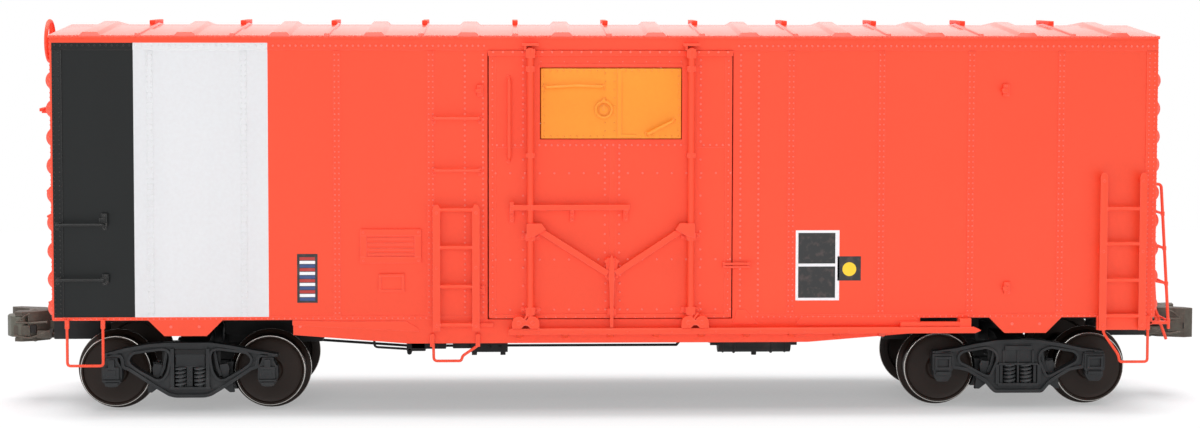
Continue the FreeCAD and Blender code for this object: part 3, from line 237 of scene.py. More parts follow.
def row(start, end, pitch):
    """Evenly spaced values from start to end, about pitch apart."""
    steps = max(1, round(abs(end - start) / pitch))
    return [start + (end - start) * step / steps for step in range(steps + 1)]


def piece(name, bm, material, body="car_body", stands_for=(), crease=35.0):
    """Finish a mesh in mm as a named piece in metres that rides on a body."""
    bmesh.ops.scale(bm, vec=(MM, MM, MM), verts=bm.verts)
    bmesh.ops.recalc_face_normals(bm, faces=bm.faces)
    mesh = bpy.data.meshes.new(name)
    bm.to_mesh(mesh)
    bm.free()
    mesh.materials.append(material)
    mesh.shade_smooth()
    mesh.set_sharp_from_angle(angle=math.radians(crease))
    made = bpy.data.objects.new(name, mesh)
    bpy.context.scene.collection.objects.link(made)
    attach(made, body)
    if stands_for:
        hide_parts(*stands_for)
    return made


def turned(bm):
    """The same mesh half a turn round the middle of the car."""
    other = bm.copy()
    bmesh.ops.rotate(other, cent=(0, 0, 0), matrix=HALF_TURN, verts=other.verts)
    return other


def both_sides(name, bm, material, node=None):
    """A piece on the right side of the car and its twin, half a turn away, on the left."""
    twin = turned(bm)
    for side, mesh in (("right", bm), ("left", twin)):
        nodes = (f"{node}_{side}",) if node else ()
        piece(f"{name}_{side}", mesh, material, stands_for=nodes)


def eased(name, node, material, width, body="car_body"):
    """A construction part with its sharp edges rounded off, as a mould leaves them."""
    bm = bmesh.new()
    bm.from_mesh(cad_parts[node].data)
    bmesh.ops.scale(bm, vec=(1 / MM,) * 3, verts=bm.verts)
    bmesh.ops.remove_doubles(bm, verts=bm.verts, dist=0.0005)
    bmesh.ops.dissolve_limit(bm, angle_limit=math.radians(0.6), verts=bm.verts, edges=bm.edges)
    sharp = [edge for edge in bm.edges if edge.is_manifold and edge.calc_face_angle(0) > SHARP_EDGE]
    bmesh.ops.bevel(bm, geom=sharp, offset=width, segments=2, profile=0.6, affect="EDGES",
                    clamp_overlap=True)
    return piece(name, bm, material, body, (node,), 40.0)


SIDE_PAINT = sprayed("side_paint", ORANGE_RED, bands=True)
# The rivet heads on the sides take the side paint with a painted highlight over it.
HIGHLIT_SIDE_RIVET_PAINT = sprayed("highlit_side_rivet_paint", ORANGE_RED, bands=True, painted_highlight=0.09)
side_low, side_high = corners("side_right")
body_low = corners("floor")[0]
FACE = side_low.y + CHORD_PROUD
EAVE = side_high.z
HALF = side_high.x
SIDE_BOTTOM = body_low.z
door_low, door_high = corners("door_right")

battens = bmesh.new()
for x in SEAMS:
    slab(battens, (x - 0.55, x + 0.35), (FACE - 0.06, FACE + 0.3), (SIDE_BOTTOM + 0.1, EAVE - 1.7), 0.03)
for x in (-HALF + 0.75, HALF - 0.75):
    slab(battens, (x - 0.72, x + 0.72), (FACE - 0.09, FACE + 0.3), (SIDE_BOTTOM, EAVE - 1.65), 0.04)
for x0, x1 in ((-HALF + 1.5, door_low.x - 0.4), (door_high.x + 0.5, HALF - 1.5)):
    slab(battens, (x0, x1), (FACE - 0.07, FACE + 0.3), (SIDE_BOTTOM + 0.02, SIDE_BOTTOM + 0.5), 0.03)
both_sides("side_battens", battens, SIDE_PAINT)

heads = bmesh.new()
column = row(SIDE_BOTTOM + 0.95, EAVE - 2.2, RIVET_PITCH)
for x in SEAMS:
    for edge in (x - 0.36, x + 0.17):
        rivets(heads, [(edge, FACE - 0.06, z) for z in column], 0.13, 0.12)
for x in POST_RIVETS:
    rivets(heads, [(x, FACE, z) for z in column])
for x in (-HALF + 0.4, -HALF + 1.1, HALF - 0.4, HALF - 1.1):
    rivets(heads, [(x, FACE - 0.09, z) for z in row(SIDE_BOTTOM + 0.4, EAVE - 2.0, 0.6)], 0.12)
chord = [x for x in row(-HALF + 0.6, HALF - 0.6, 0.75) if not door_low.x - 0.2 < x - 0.2 < door_high.x]
rivets(heads, [(x, side_low.y, EAVE - 1.02) for x in chord])
for x0, x1 in ((-HALF + 2.0, -24.2), (18.4, HALF - 8.0)):
    rivets(heads, [(x, FACE - 0.07, SIDE_BOTTOM + 0.22) for x in row(x0, x1, 0.75)], 0.12)
for x in (-57.9, -54.2, 54.2, 57.9, -40.9, 40.9):
    rivets(heads, [(x, FACE, 12.45)], 0.24, 0.12)
both_sides("side_rivets", heads, HIGHLIT_SIDE_RIVET_PAINT)
for side in ("right", "left"):
    eased(f"side_{side}_sheet", f"side_{side}", SIDE_PAINT, 0.1)

# ---------------------------------------------------------------- pressed ends
# Steel ends with long pressed ribs, closed at the corners by the flanges of the sides. The
# flanges are riveted, and small brackets for the grab irons are welded on.
END_FLANGE = 1.3
END_FACE = HALF
BODY_PAINT = sprayed("body_paint", ORANGE_RED)
# The rivet heads elsewhere take the body paint with a painted highlight over it.
HIGHLIT_RIVET_PAINT = sprayed("highlit_rivet_paint", ORANGE_RED, painted_highlight=0.09)


def both_ends(name, bm, material, node=None):
    """A piece at end A and its twin, half a turn away, at end B. Braces in a name take the letter."""
    twin = turned(bm)
    for letter, mesh in (("a", bm), ("b", twin)):
        nodes = (node.format(letter),) if node else ()
        piece(name.format(letter), mesh, material, stands_for=nodes)


for end in ("a", "b"):
    eased(f"end_{end}_pressing", f"end_{end}", BODY_PAINT, 0.08)

corner_posts = bmesh.new()
end_heads = bmesh.new()
for side in (-1, 1):
    edge = side * -FACE
    inner = edge - side * END_FLANGE
    slab(corner_posts, (END_FACE - 0.3, END_FACE + 0.08), (inner, edge),
         (SIDE_BOTTOM + 0.05, EAVE - 0.05), 0.04)
    for y in (edge - side * 0.35, edge - side * 0.95):
        places = [(END_FACE + 0.08, y, z) for z in row(SIDE_BOTTOM + 0.5, EAVE - 0.6, 0.6)]
        rivets(end_heads, places, 0.12, out=(1, 0, 0))
slab(corner_posts, (END_FACE - 0.3, END_FACE + 0.08), (FACE + 1.4, -FACE - 1.4),
     (EAVE - 1.0, EAVE - 0.05), 0.04)
slab(corner_posts, (END_FACE - 0.3, END_FACE + 0.1), (FACE + 1.4, -FACE - 1.4),
     (SIDE_BOTTOM, SIDE_BOTTOM + 0.4), 0.04)
across = row(FACE + 2.0, -FACE - 2.0, 0.8)
rivets(end_heads, [(END_FACE + 0.08, y, EAVE - 0.5) for y in across], 0.12, out=(1, 0, 0))
for name, mesh, finish in (("corner_posts_{}", corner_posts, BODY_PAINT),
                           ("end_rivets_{}", end_heads, HIGHLIT_RIVET_PAINT)):
    both_ends(name, mesh, finish)

# ---------------------------------------------------------------- roof
# A shallow gabled roof of pressed panels. Cap strips close the seams between the panels, and a
# flange along each eave is riveted to the top chord of the side.
CAP_PITCH = 12.4
CAPS = 11
RIB_FOOT = 3.3
ROOF_PAINT = sprayed("roof_paint", ORANGE_RED, varnish=1.7)
eased("roof_panels", "roof", ROOF_PAINT, 0.1)
eave = bmesh.new()
eave_heads = bmesh.new()
slab(eave, (-HALF - 0.2, HALF + 0.2), (FACE - 0.24, FACE + 0.2), (EAVE - 0.06, EAVE + 0.16), 0.05)
ribs = [(place - CAPS / 2) * CAP_PITCH for place in range(CAPS + 1)]
for x in row(-HALF + 0.4, HALF - 0.4, 0.72):
    if min(abs(x - rib) for rib in ribs) > RIB_FOOT / 2 + 0.1:
        rivets(eave_heads, [(x, FACE - 0.02, EAVE + 0.27)], 0.12, 0.09, out=(0, -1, 0.25))
for rib in ribs:
    for x0 in (rib - RIB_FOOT / 2 + 0.05, rib + RIB_FOOT / 2 - 0.05):
        rivets(eave_heads, [(x0, FACE - 0.02, EAVE + 0.3)], 0.13, 0.1, out=(0, -1, 0.2))
both_sides("eave_flange", eave, BODY_PAINT)
both_sides("eave_rivets", eave_heads, HIGHLIT_RIVET_PAINT)

# ---------------------------------------------------------------- running board saddles
# Flat steel brackets across the ridge at each seam cap. They carried a running board, which
# has since been taken off, so their tops are bare with two bolt heads each.
saddle_top = corners("running_board_saddles")[1].z
eased("saddle_brackets", "running_board_saddles", BODY_PAINT, 0.07)
bolts = bmesh.new()
for place in range(CAPS):
    x = (place - (CAPS - 1) / 2) * CAP_PITCH
    for y in (-3.0, 3.0):
        rivets(bolts, [(x, y, saddle_top - 0.08)], 0.2, 0.075, out=(0, 0, 1))
piece("saddle_bolts", bolts, BODY_PAINT)

# ---------------------------------------------------------------- plug doors
# One flat insulated door a side that closes flush in its opening, made of riveted sheets.
# A header strip above covers the gap, and a vertical hand hold is let into the left edge.
DOOR_FACE = door_low.y
hatch_low, hatch_high = corners("hatch_right")


def wire(bm, points, radius, bend=0.0, sides=10):
    """A round rod through points, with rounded bends and slightly domed ends."""
    corners_at = [Vector(point) for point in points]
    path = [corners_at[0]]
    for before, corner, after in zip(corners_at, corners_at[1:], corners_at[2:]):
        reach = min(bend, (before - corner).length * 0.45, (after - corner).length * 0.45)
        start = corner + (before - corner).normalized() * reach
        end = corner + (after - corner).normalized() * reach
        for step in range(5 if reach else 1):
            share = step / 4
            path.append(start.lerp(corner, share).lerp(corner.lerp(end, share), share))
    path.append(corners_at[-1])
    path = path[:1] + [point for last, point in zip(path, path[1:]) if (point - last).length > 1e-4]
    heading = (path[1] - path[0]).normalized()
    across = heading.orthogonal().normalized()
    rings = []
    for index, point in enumerate(path):
        ahead = (path[min(index + 1, len(path) - 1)] - path[max(index - 1, 0)]).normalized()
        across = (across - ahead * across.dot(ahead)).normalized()
        up = ahead.cross(across)
        ring = []
        for step in range(sides):
            turn = 2 * math.pi * step / sides
            ring.append(bm.verts.new(point + (across * math.cos(turn) + up * math.sin(turn)) * radius))
        rings.append(ring)
    for first, second in zip(rings, rings[1:]):
        for step in range(sides):
            after = (step + 1) % sides
            bm.faces.new((first[step], first[after], second[after], second[step]))
    for ring, back in ((rings[0], path[0] - path[1]), (rings[-1], path[-1] - path[-2])):
        centre = sum((vertex.co for vertex in ring), Vector()) / sides
        tip = bm.verts.new(centre + back.normalized() * radius * 0.35)
        for step in range(sides):
            bm.faces.new((ring[step], ring[(step + 1) % sides], tip))


for side in ("right", "left"):
    eased(f"plug_door_{side}", f"door_{side}", BODY_PAINT, 0.1)
trim = bmesh.new()
slab(trim, (door_low.x - 0.1, door_high.x + 0.1), (FACE - 0.32, FACE + 0.3),
     (door_high.z - 0.25, EAVE - 1.65), 0.05)
slab(trim, (door_low.x + 0.02, door_low.x + 0.95), (DOOR_FACE - 0.05, DOOR_FACE + 0.3),
     (door_low.z + 0.3, door_high.z - 0.3), 0.03)
slab(trim, (door_high.x - 0.95, door_high.x - 0.02), (DOOR_FACE - 0.05, DOOR_FACE + 0.3),
     (door_low.z + 0.3, door_high.z - 0.3), 0.03)
for x0, x1 in ((door_low.x + 1.0, hatch_low.x - 2.2), (hatch_high.x + 2.2, door_high.x - 1.0)):
    slab(trim, (x0, x1), (DOOR_FACE - 0.05, DOOR_FACE + 0.3), (36.15, 36.25), 0.02)
slab(trim, (door_low.x + 0.4, door_high.x - 0.4), (DOOR_FACE - 0.12, DOOR_FACE + 0.3),
     (door_low.z, door_low.z + 0.55), 0.05)
slab(trim, (hatch_low.x - 0.2, hatch_high.x + 0.2), (DOOR_FACE - 0.1, DOOR_FACE + 0.2),
     (hatch_high.z + 0.28, hatch_high.z + 0.6), 0.04)
slab(trim, (0.15, 1.0), (DOOR_FACE - 0.05, DOOR_FACE + 0.2), (13.7, hatch_low.z - 0.8), 0.03)
wire(trim, [(-13.2, DOOR_FACE + 0.2, 45.4), (-13.2, DOOR_FACE - 0.65, 45.1),
            (-13.2, DOOR_FACE - 0.65, 34.9), (-13.2, DOOR_FACE + 0.2, 34.6)], 0.24, 0.5)
for z in (45.4, 34.6):
    rivets(trim, [(-13.3, DOOR_FACE, z + math.copysign(0.25, z - 40))], 0.3, 0.16)
both_sides("door_trim", trim, BODY_PAINT)

heads = bmesh.new()
rivets(heads, [(x, FACE - 0.32, 48.86) for x in row(door_low.x + 0.6, door_high.x - 0.6, 1.3)])
edge_rows = row(door_low.z + 0.9, door_high.z - 0.9, 0.85)
for x in (door_low.x + 0.5, door_high.x - 0.5):
    rivets(heads, [(x, DOOR_FACE - 0.05, z) for z in edge_rows], 0.12)
for x in (-11.35, 12.2):
    rivets(heads, [(x, DOOR_FACE, z) for z in row(37.0, 47.8, 0.85)])
    rivets(heads, [(x, DOOR_FACE, z) for z in row(15.4, 34.6, 2.4)])
for x in (-0.5, 1.4):
    rivets(heads, [(x, DOOR_FACE, z) for z in row(29.9, 36.2, 0.75)])
    rivets(heads, [(x, DOOR_FACE, z) for z in row(22.2, 27.2, 1.2)])
    rivets(heads, [(x + 0.1, DOOR_FACE, z) for z in row(14.6, 20.4, 1.2)])
for x0, x1 in ((-14.8, -11.6), (-9.2, 9.6), (12.6, 16.0)):
    rivets(heads, [(x, DOOR_FACE, 36.53) for x in row(x0, x1, 0.8)])
for z in (32.8, 21.3, 14.6):
    rivets(heads, [(x, DOOR_FACE, z) for x in row(-15.0, 16.2, 1.9)])
rivets(heads, [(x, DOOR_FACE - 0.12, 13.6) for x in row(door_low.x + 1.0, door_high.x - 1.0, 1.3)], 0.12)
rivets(heads, [(x, DOOR_FACE, 47.6) for x in row(hatch_low.x, hatch_high.x, 1.6)], 0.1, 0.05)
both_sides("door_rivets", heads, HIGHLIT_RIVET_PAINT)

# ---------------------------------------------------------------- loading hatches
# A pair of yellow-orange leaves in the top of each door for filling the car with grain. The
# left leaf has a hand rail and a ring latch, and the right one a pull handle.
HATCH_ORANGE = (0.93, 0.305, 0.022)
HATCH_PAINT = sprayed("hatch_paint", HATCH_ORANGE)
HATCH_FACE = hatch_low.y


def circle(middle, radius, count, degrees):
    """Points round a circle in a plane, from its right-hand edge, a number of degrees apart."""
    turns = [math.radians(degrees * step) for step in range(count)]
    return [(middle[0] + radius * math.cos(turn), middle[1] + radius * math.sin(turn)) for turn in turns]


def plate(bm, outline, low, high, soft=0.05):
    """A flat plate that faces the side of the car: an outline of (along, up) points and two Y planes."""
    first = [bm.verts.new((x, low, z)) for x, z in outline]
    second = [bm.verts.new((x, high, z)) for x, z in outline]
    faces = [bm.faces.new(first), bm.faces.new(list(reversed(second)))]
    for index in range(len(outline)):
        after = (index + 1) % len(outline)
        faces.append(bm.faces.new((first[after], first[index], second[index], second[after])))
    if soft:
        rims = list(set(faces[0].edges) | set(faces[1].edges))
        bmesh.ops.bevel(bm, geom=rims, offset=soft, segments=2, profile=0.6, affect="EDGES",
                        clamp_overlap=True)


for side in ("right", "left"):
    eased(f"hatch_leaves_{side}", f"hatch_{side}", HATCH_PAINT, 0.09)
leaf = bmesh.new()
slab(leaf, (1.12, 1.72), (HATCH_FACE - 0.14, HATCH_FACE + 0.2),
     (hatch_low.z + 0.15, hatch_high.z - 0.05), 0.05)
slab(leaf, (1.7, 3.7), (HATCH_FACE - 0.12, HATCH_FACE + 0.2), (hatch_low.z + 0.2, hatch_low.z + 0.55), 0.05)
wire(leaf, [(-8.45, HATCH_FACE + 0.2, 44.25), (-8.4, HATCH_FACE - 0.6, 44.2),
            (-4.5, HATCH_FACE - 0.6, 44.45), (-0.85, HATCH_FACE - 0.6, 44.3),
            (-0.8, HATCH_FACE + 0.2, 44.3)], 0.17, 0.35)
wire(leaf, [(5.05, HATCH_FACE + 0.2, 37.95), (5.1, HATCH_FACE - 0.55, 38.0),
            (8.5, HATCH_FACE - 0.55, 39.75), (8.55, HATCH_FACE + 0.2, 39.8)], 0.2, 0.3)
for x, z in ((-8.5, 44.3), (-0.75, 44.35), (5.0, 38.0), (8.6, 39.85)):
    rivets(leaf, [(x, HATCH_FACE, z)], 0.34, 0.2)
RING = (-0.68, 41.25)
ring = [(x, HATCH_FACE - 0.12, z) for x, z in circle(RING, 1.08, 19, 20)]
wire(leaf, ring, 0.2, 0.0, 8)
plate(leaf, [(RING[0] - 0.32, RING[1] + 0.9), (RING[0] + 0.32, RING[1] + 0.9),
             (RING[0] + 0.1, RING[1] + 1.5), (RING[0] - 0.1, RING[1] + 1.5)],
      HATCH_FACE - 0.32, HATCH_FACE + 0.1, 0.04)
plate(leaf, circle(RING, 0.62, 12, 30), HATCH_FACE - 0.12, HATCH_FACE + 0.1, 0.05)
slab(leaf, (RING[0] - 0.12, RING[0] + 0.12), (HATCH_FACE - 0.26, HATCH_FACE),
     (RING[1] - 0.1, RING[1] + 0.7), 0.04)
both_sides("hatch_fittings", leaf, HATCH_PAINT)
heads = bmesh.new()
for z in (hatch_high.z - 0.28, hatch_low.z + 0.3):
    rivets(heads, [(x, HATCH_FACE, z) for x in row(hatch_low.x + 0.4, -0.7, 0.9)], 0.12)
rivets(heads, [(x, HATCH_FACE, hatch_high.z - 0.28) for x in row(2.2, hatch_high.x - 0.4, 0.9)], 0.12)
rivets(heads, [(x, HATCH_FACE, hatch_low.z + 0.3) for x in row(4.2, hatch_high.x - 0.4, 0.9)], 0.12)
for x in (hatch_low.x + 0.4, hatch_high.x - 0.35):
    rivets(heads, [(x, HATCH_FACE, z) for z in row(hatch_low.z + 1.0, hatch_high.z - 1.0, 1.05)], 0.11)
for x in (-0.51, 0.72):
    rivets(heads, [(x, HATCH_FACE, z) for z in row(38.4, 46.1, 1.1) if x > 0 or abs(z - RING[1]) > 1.5],
           0.11)
both_sides("hatch_rivets", heads, HATCH_PAINT)

# ---------------------------------------------------------------- door gear
# The plug door is locked and rolled by two vertical bars with cranks at their ends. Toggle
# rods join the bars to a post in the middle, and a long handle works them. All forged steel.
DOOR_MIDDLE = (door_low.x + door_high.x) / 2
BAR_AXIS = DOOR_FACE - 0.75
GEAR_FRONT = corners("door_gear_right")[0].y
BARS = (DOOR_MIDDLE - 10.65, DOOR_MIDDLE + 10.65)
BAR_FOOT = 13.6
BAR_HEAD = 49.4
HANDLE_HEIGHT = 28.3
BAR_GUIDES = (
    # bottom, top, half width
    (14.0, 15.0, 0.62), (23.9, 24.9, 0.62), (34.9, 35.5, 0.58), (46.3, 47.0, 0.58), (48.1, 49.3, 0.62),
)
gear = bmesh.new()


def roller_bracket(bm, x):
    """Two-lobed roller housing on the track, with the crank that lifts it."""
    lobe = 0.92
    points = [(x - 1.82, 12.25)]
    for middle, start, end in ((x - 0.9, 170, 20), (x + 0.9, 160, 10)):
        for turn in row(start, end, 30):
            angle = math.radians(turn)
            points.append((middle + lobe * math.cos(angle), 12.95 + lobe * math.sin(angle)))
    points += [(x + 1.82, 12.25), (x + 0.55, 12.25)]
    points += [(x + 0.55 * math.cos(math.radians(turn)), 12.25 + 0.5 * math.sin(math.radians(turn)))
               for turn in (30, 60, 90, 120, 150)] + [(x - 0.55, 12.25)]
    plate(bm, points, GEAR_FRONT + 0.1, DOOR_FACE + 0.1, 0.06)
    for middle in (x - 0.9, x + 0.9):
        rivets(bm, [(middle, GEAR_FRONT + 0.1, 13.0)], 0.34, 0.09)
    wire(bm, [(x - 0.35, GEAR_FRONT + 0.25, 13.2), (x + 0.35, GEAR_FRONT + 0.45, 14.2)], 0.16)


for x in BARS:
    inward = math.copysign(1, DOOR_MIDDLE - x)
    wire(gear, [(x, BAR_AXIS, BAR_FOOT), (x, BAR_AXIS, BAR_HEAD)], 0.44, sides=16)
    for z0, z1, half in BAR_GUIDES:
        slab(gear, (x - half, x + half), (BAR_AXIS - 0.4, DOOR_FACE + 0.1), (z0, z1), 0.1)
    for z in (14.5, 24.4):
        slab(gear, (x - 1.25, x + 1.25), (DOOR_FACE - 0.2, DOOR_FACE + 0.1), (z - 0.42, z + 0.42), 0.06)
        rivets(gear, [(x - 0.95, DOOR_FACE - 0.2, z), (x + 0.95, DOOR_FACE - 0.2, z)], 0.2, 0.12)
    slab(gear, (x - 1.1, x + 1.1), (GEAR_FRONT + 0.25, FACE + 0.1), (49.7, 50.0), 0.06)
    slab(gear, (x - 0.85, x - 0.5), (GEAR_FRONT + 0.45, FACE + 0.1), (49.1, 49.8), 0.06)
    plate(gear, [(x - inward * 0.5, 26.2), (x - inward * 0.5, 24.3), (x + inward * 0.7, 24.6),
                 (x + inward * 2.05, 25.4), (x + inward * 1.5, 26.2)], GEAR_FRONT + 0.02, BAR_AXIS + 0.25,
          0.07)
    roller_bracket(gear, x - inward * 0.6)
POST = DOOR_MIDDLE + 0.15
for x in BARS:
    inward = math.copysign(1, DOOR_MIDDLE - x)
    start = Vector((x + inward * 1.35, 0, 25.2))
    end = Vector((POST - inward * 0.55, 0, 19.5))
    along = (end - start).normalized()
    width = Vector((-along.z, 0, along.x)) * 0.4
    bar = [start + width, end + width, end - width, start - width]
    plate(gear, [(point.x, point.z) for point in bar], BAR_AXIS - 0.28, BAR_AXIS + 0.22, 0.1)
spindle = [(POST, 22.1), (POST + 0.32, 21.4), (POST + 0.36, 19.2), (POST + 0.26, 16.2),
           (POST + 0.2, BAR_FOOT - 1.3), (POST - 0.2, BAR_FOOT - 1.3), (POST - 0.26, 16.2),
           (POST - 0.36, 19.2), (POST - 0.32, 21.4)]
plate(gear, spindle, BAR_AXIS - 0.32, BAR_AXIS + 0.3, 0.12)
plate(gear, [(POST - 0.85, 21.3), (POST - 0.5, 21.55), (POST + 0.5, 21.55), (POST + 0.85, 21.3),
             (POST + 0.62, 18.6), (POST - 0.62, 18.6)], BAR_AXIS - 0.02, DOOR_FACE + 0.1, 0.08)
for x in (POST - 0.78, POST + 0.78):
    rivets(gear, [(x, BAR_AXIS - 0.05, 21.1), (x * 0.9 + POST * 0.1, BAR_AXIS - 0.05, 19.1)], 0.24, 0.16)
slab(gear, (POST - 0.55, POST + 0.55), (BAR_AXIS + 0.1, DOOR_FACE + 0.1), (13.9, 14.8), 0.08)
handle_left = DOOR_MIDDLE - 13.35
handle_right = DOOR_MIDDLE + 2.5
slab(gear, (handle_left, handle_right), (BAR_AXIS - 0.42, BAR_AXIS + 0.1),
     (HANDLE_HEIGHT - 0.34, HANDLE_HEIGHT + 0.36), 0.12)
for x, foot, width in ((handle_left + 0.25, 26.2, 0.3), (-4.85, 26.3, 0.28),
                       (handle_right - 0.5, 26.4, 0.32)):
    slab(gear, (x - width, x + width), (DOOR_FACE - 0.35, DOOR_FACE + 0.1), (foot, HANDLE_HEIGHT), 0.07)
    slab(gear, (x - width * 0.8, x + width * 0.8), (BAR_AXIS - 0.25, DOOR_FACE + 0.1),
         (HANDLE_HEIGHT - 0.75, HANDLE_HEIGHT - 0.2), 0.07)
    rivets(gear, [(x, DOOR_FACE - 0.35, foot + 0.35), (x, DOOR_FACE - 0.35, foot + 1.05)], 0.19, 0.12)
slab(gear, (handle_left, handle_left + 0.5), (BAR_AXIS - 0.45, BAR_AXIS + 0.1),
     (HANDLE_HEIGHT + 0.2, HANDLE_HEIGHT + 0.75), 0.1)
both_sides("door_gear", gear, BODY_PAINT, node="door_gear")

CATCHES = (
    # place along the side, height of its middle, half of its own height
    (-17.0, 43.75, 0.75), (-16.75, 17.3, 0.55), (-66.5, 26.7, 0.85), (-66.4, 18.9, 0.6),
    (53.0, 43.8, 0.8), (53.4, 17.3, 0.8),
)
catches = bmesh.new()
slab(catches, (15.2, 18.9), (FACE - 0.55, FACE - 0.3), (20.55, 20.85), 0.06)
wire(catches, [(15.3, FACE - 0.45, 20.25), (18.8, FACE - 0.45, 20.25)], 0.14)
for x in (15.4, 18.7):
    slab(catches, (x - 0.2, x + 0.2), (FACE - 0.4, FACE + 0.1), (20.1, 20.9), 0.05)
for x, z, height in CATCHES:
    slab(catches, (x - 0.42, x + 0.42), (FACE - 0.4, FACE + 0.1), (z - height, z + height), 0.08)
    slab(catches, (x - 0.62, x + 0.1), (FACE - 0.68, FACE + 0.1), (z - height * 0.35, z + height * 0.3),
         0.08)
    rivets(catches, [(x, FACE - 0.4, z + height * 0.7), (x + 0.2, FACE - 0.4, z - height * 0.7)], 0.17, 0.12)
both_sides("door_catches", catches, SIDE_PAINT)

# ---------------------------------------------------------------- door tracks
# A steel angle along the bottom of each side that the open door rolls on, held up by lugs,
# with a pointed stop at its far end.
track_low, track_high = corners("door_track_right")
for side in ("right", "left"):
    eased(f"door_rail_{side}", f"door_track_{side}", BODY_PAINT, 0.07)
rail = bmesh.new()
slab(rail, (39.0, 47.3), (track_low.y + 0.34, FACE + 0.1), (12.2, 12.82), 0.06)
wire(rail, [(track_low.x + 0.2, track_low.y + 0.12, 12.12),
            (track_high.x - 1.0, track_low.y + 0.12, 12.12)], 0.11, sides=8)
for x in row(track_low.x + 4.0, track_high.x - 6.0, 6.05):
    rivets(rail, [(x, track_low.y, 11.75)], 0.16, 0.1)
slab(rail, (door_low.x - 1.9, door_low.x + 0.6), (FACE - 0.5, FACE + 0.1), (12.35, 12.85), 0.08)
plate(rail, [(17.2, 14.5), (18.2, 14.5), (20.0, 12.6), (16.6, 12.6)], FACE - 0.16, FACE + 0.1, 0.05)
plate(rail, [(25.6, 13.3), (26.6, 13.6), (40.8, 13.6), (42.2, 12.4), (25.0, 12.4)], FACE - 0.12,
      FACE + 0.1, 0.05)
plate(rail, [(-41.9, 13.25), (-35.8, 13.1), (-27.0, 13.1), (-25.2, 12.1), (-25.2, 11.7), (-41.9, 12.6)],
      FACE - 0.12, FACE + 0.1, 0.05)
both_sides("rail_fittings", rail, BODY_PAINT)

# ---------------------------------------------------------------- side ladders
# Pressed angle stiles on feet, drilled for round rungs. The stiles beside the door come to a
# point at the top, and each foot is bolted to the side.
STILE_FRONT = corners("ladders_right")[0].y
LADDERS = (
    # left edge, right edge, bottom, top, pointed head, rung heights
    (65.65, 71.95, 11.7, 32.8, False, (28.0, 23.3, 18.4, 13.6)),
    (-23.3, -17.1, 11.9, 28.7, True, (28.0, 23.0, 17.8, 12.7)),
)
STILE_WIDTH = 0.98
ladders = bmesh.new()
for left, right, low, high, pointed, rungs in LADDERS:
    for x, inward in ((left, 1), (right - STILE_WIDTH, -1)):
        edge = x + 0.05 if inward > 0 else x + STILE_WIDTH - 0.05
        flank = (edge, edge + inward * 0.3)
        slab(ladders, flank, (STILE_FRONT + 0.1, FACE - 0.62), (low + 0.05, high - 0.5), 0.06)
        head = [(x, low), (x + STILE_WIDTH, low), (x + STILE_WIDTH, high - 0.5)]
        if pointed:
            head += [(x + STILE_WIDTH / 2 + 0.2, high), (x + STILE_WIDTH / 2 - 0.2, high), (x, high - 0.5)]
        else:
            head += [(x + STILE_WIDTH - 0.25, high), (x + 0.25, high), (x, high - 0.5)]
        plate(ladders, head, STILE_FRONT, STILE_FRONT + 0.24, 0.06)
        for foot in (low + 0.35, (low + high) / 2 - 0.3, high - 1.4):
            slab(ladders, (x + 0.14, x + STILE_WIDTH - 0.14), (STILE_FRONT + 0.1, FACE + 0.1),
                 (foot, foot + 0.7), 0.07)
            rivets(ladders, [(x + STILE_WIDTH / 2, STILE_FRONT, foot + 0.35)], 0.22, 0.12)
    for height in rungs:
        wire(ladders, [(left + 0.2, STILE_FRONT + 0.3, height), (right - 0.2, STILE_FRONT + 0.3, height)],
             0.25, sides=12)
        for x in (left + 0.16, right - STILE_WIDTH + 0.16):
            slab(ladders, (x, x + STILE_WIDTH - 0.32), (STILE_FRONT + 0.02, STILE_FRONT + 0.4),
                 (height - 0.36, height + 0.36), 0.1)
both_sides("ladders", ladders, BODY_PAINT, node="ladders")

# ---------------------------------------------------------------- grab irons
# Bent wire hand holds with flattened, bolted ends: two by the corner that cross the printed
# bands, two above the ladder beside the door, and three across each end.
GRAB_LEFTS = ((-72.7, 26.1, 6.2), (-72.7, 18.8, 6.2), (-23.2, 33.2, 6.2), (-23.2, 40.1, 6.2))
GRAB_RADIUS = 0.18
GRAB_STAND = 0.95                 # the wire off the side
GRAB_WIDTH = 6.1                  # across the end
grabs = bmesh.new()
for left, height, length in GRAB_LEFTS:
    out = FACE - GRAB_STAND
    wire(grabs, [(left, FACE + 0.2, height), (left, out, height), (left + length, out, height),
                 (left + length, FACE + 0.2, height)], GRAB_RADIUS, 0.4)
    for x in (left, left + length):
        slab(grabs, (x - 0.28, x + 0.28), (FACE - 0.12, FACE + 0.1), (height - 0.75, height + 0.3), 0.05)
        rivets(grabs, [(x, FACE - 0.12, height - 0.48)], 0.2, 0.13)
for outer, height in ((14.6, 30.3), (14.6, 26.9), (14.6, 18.6)):
    out = END_FACE + 0.98
    wire(grabs, [(END_FACE - 0.2, outer, height), (out, outer, height), (out, outer - GRAB_WIDTH, height),
                 (END_FACE - 0.2, outer - GRAB_WIDTH, height)], GRAB_RADIUS, 0.4)
both_sides("grab_irons", grabs, SIDE_PAINT, node="grab_irons")

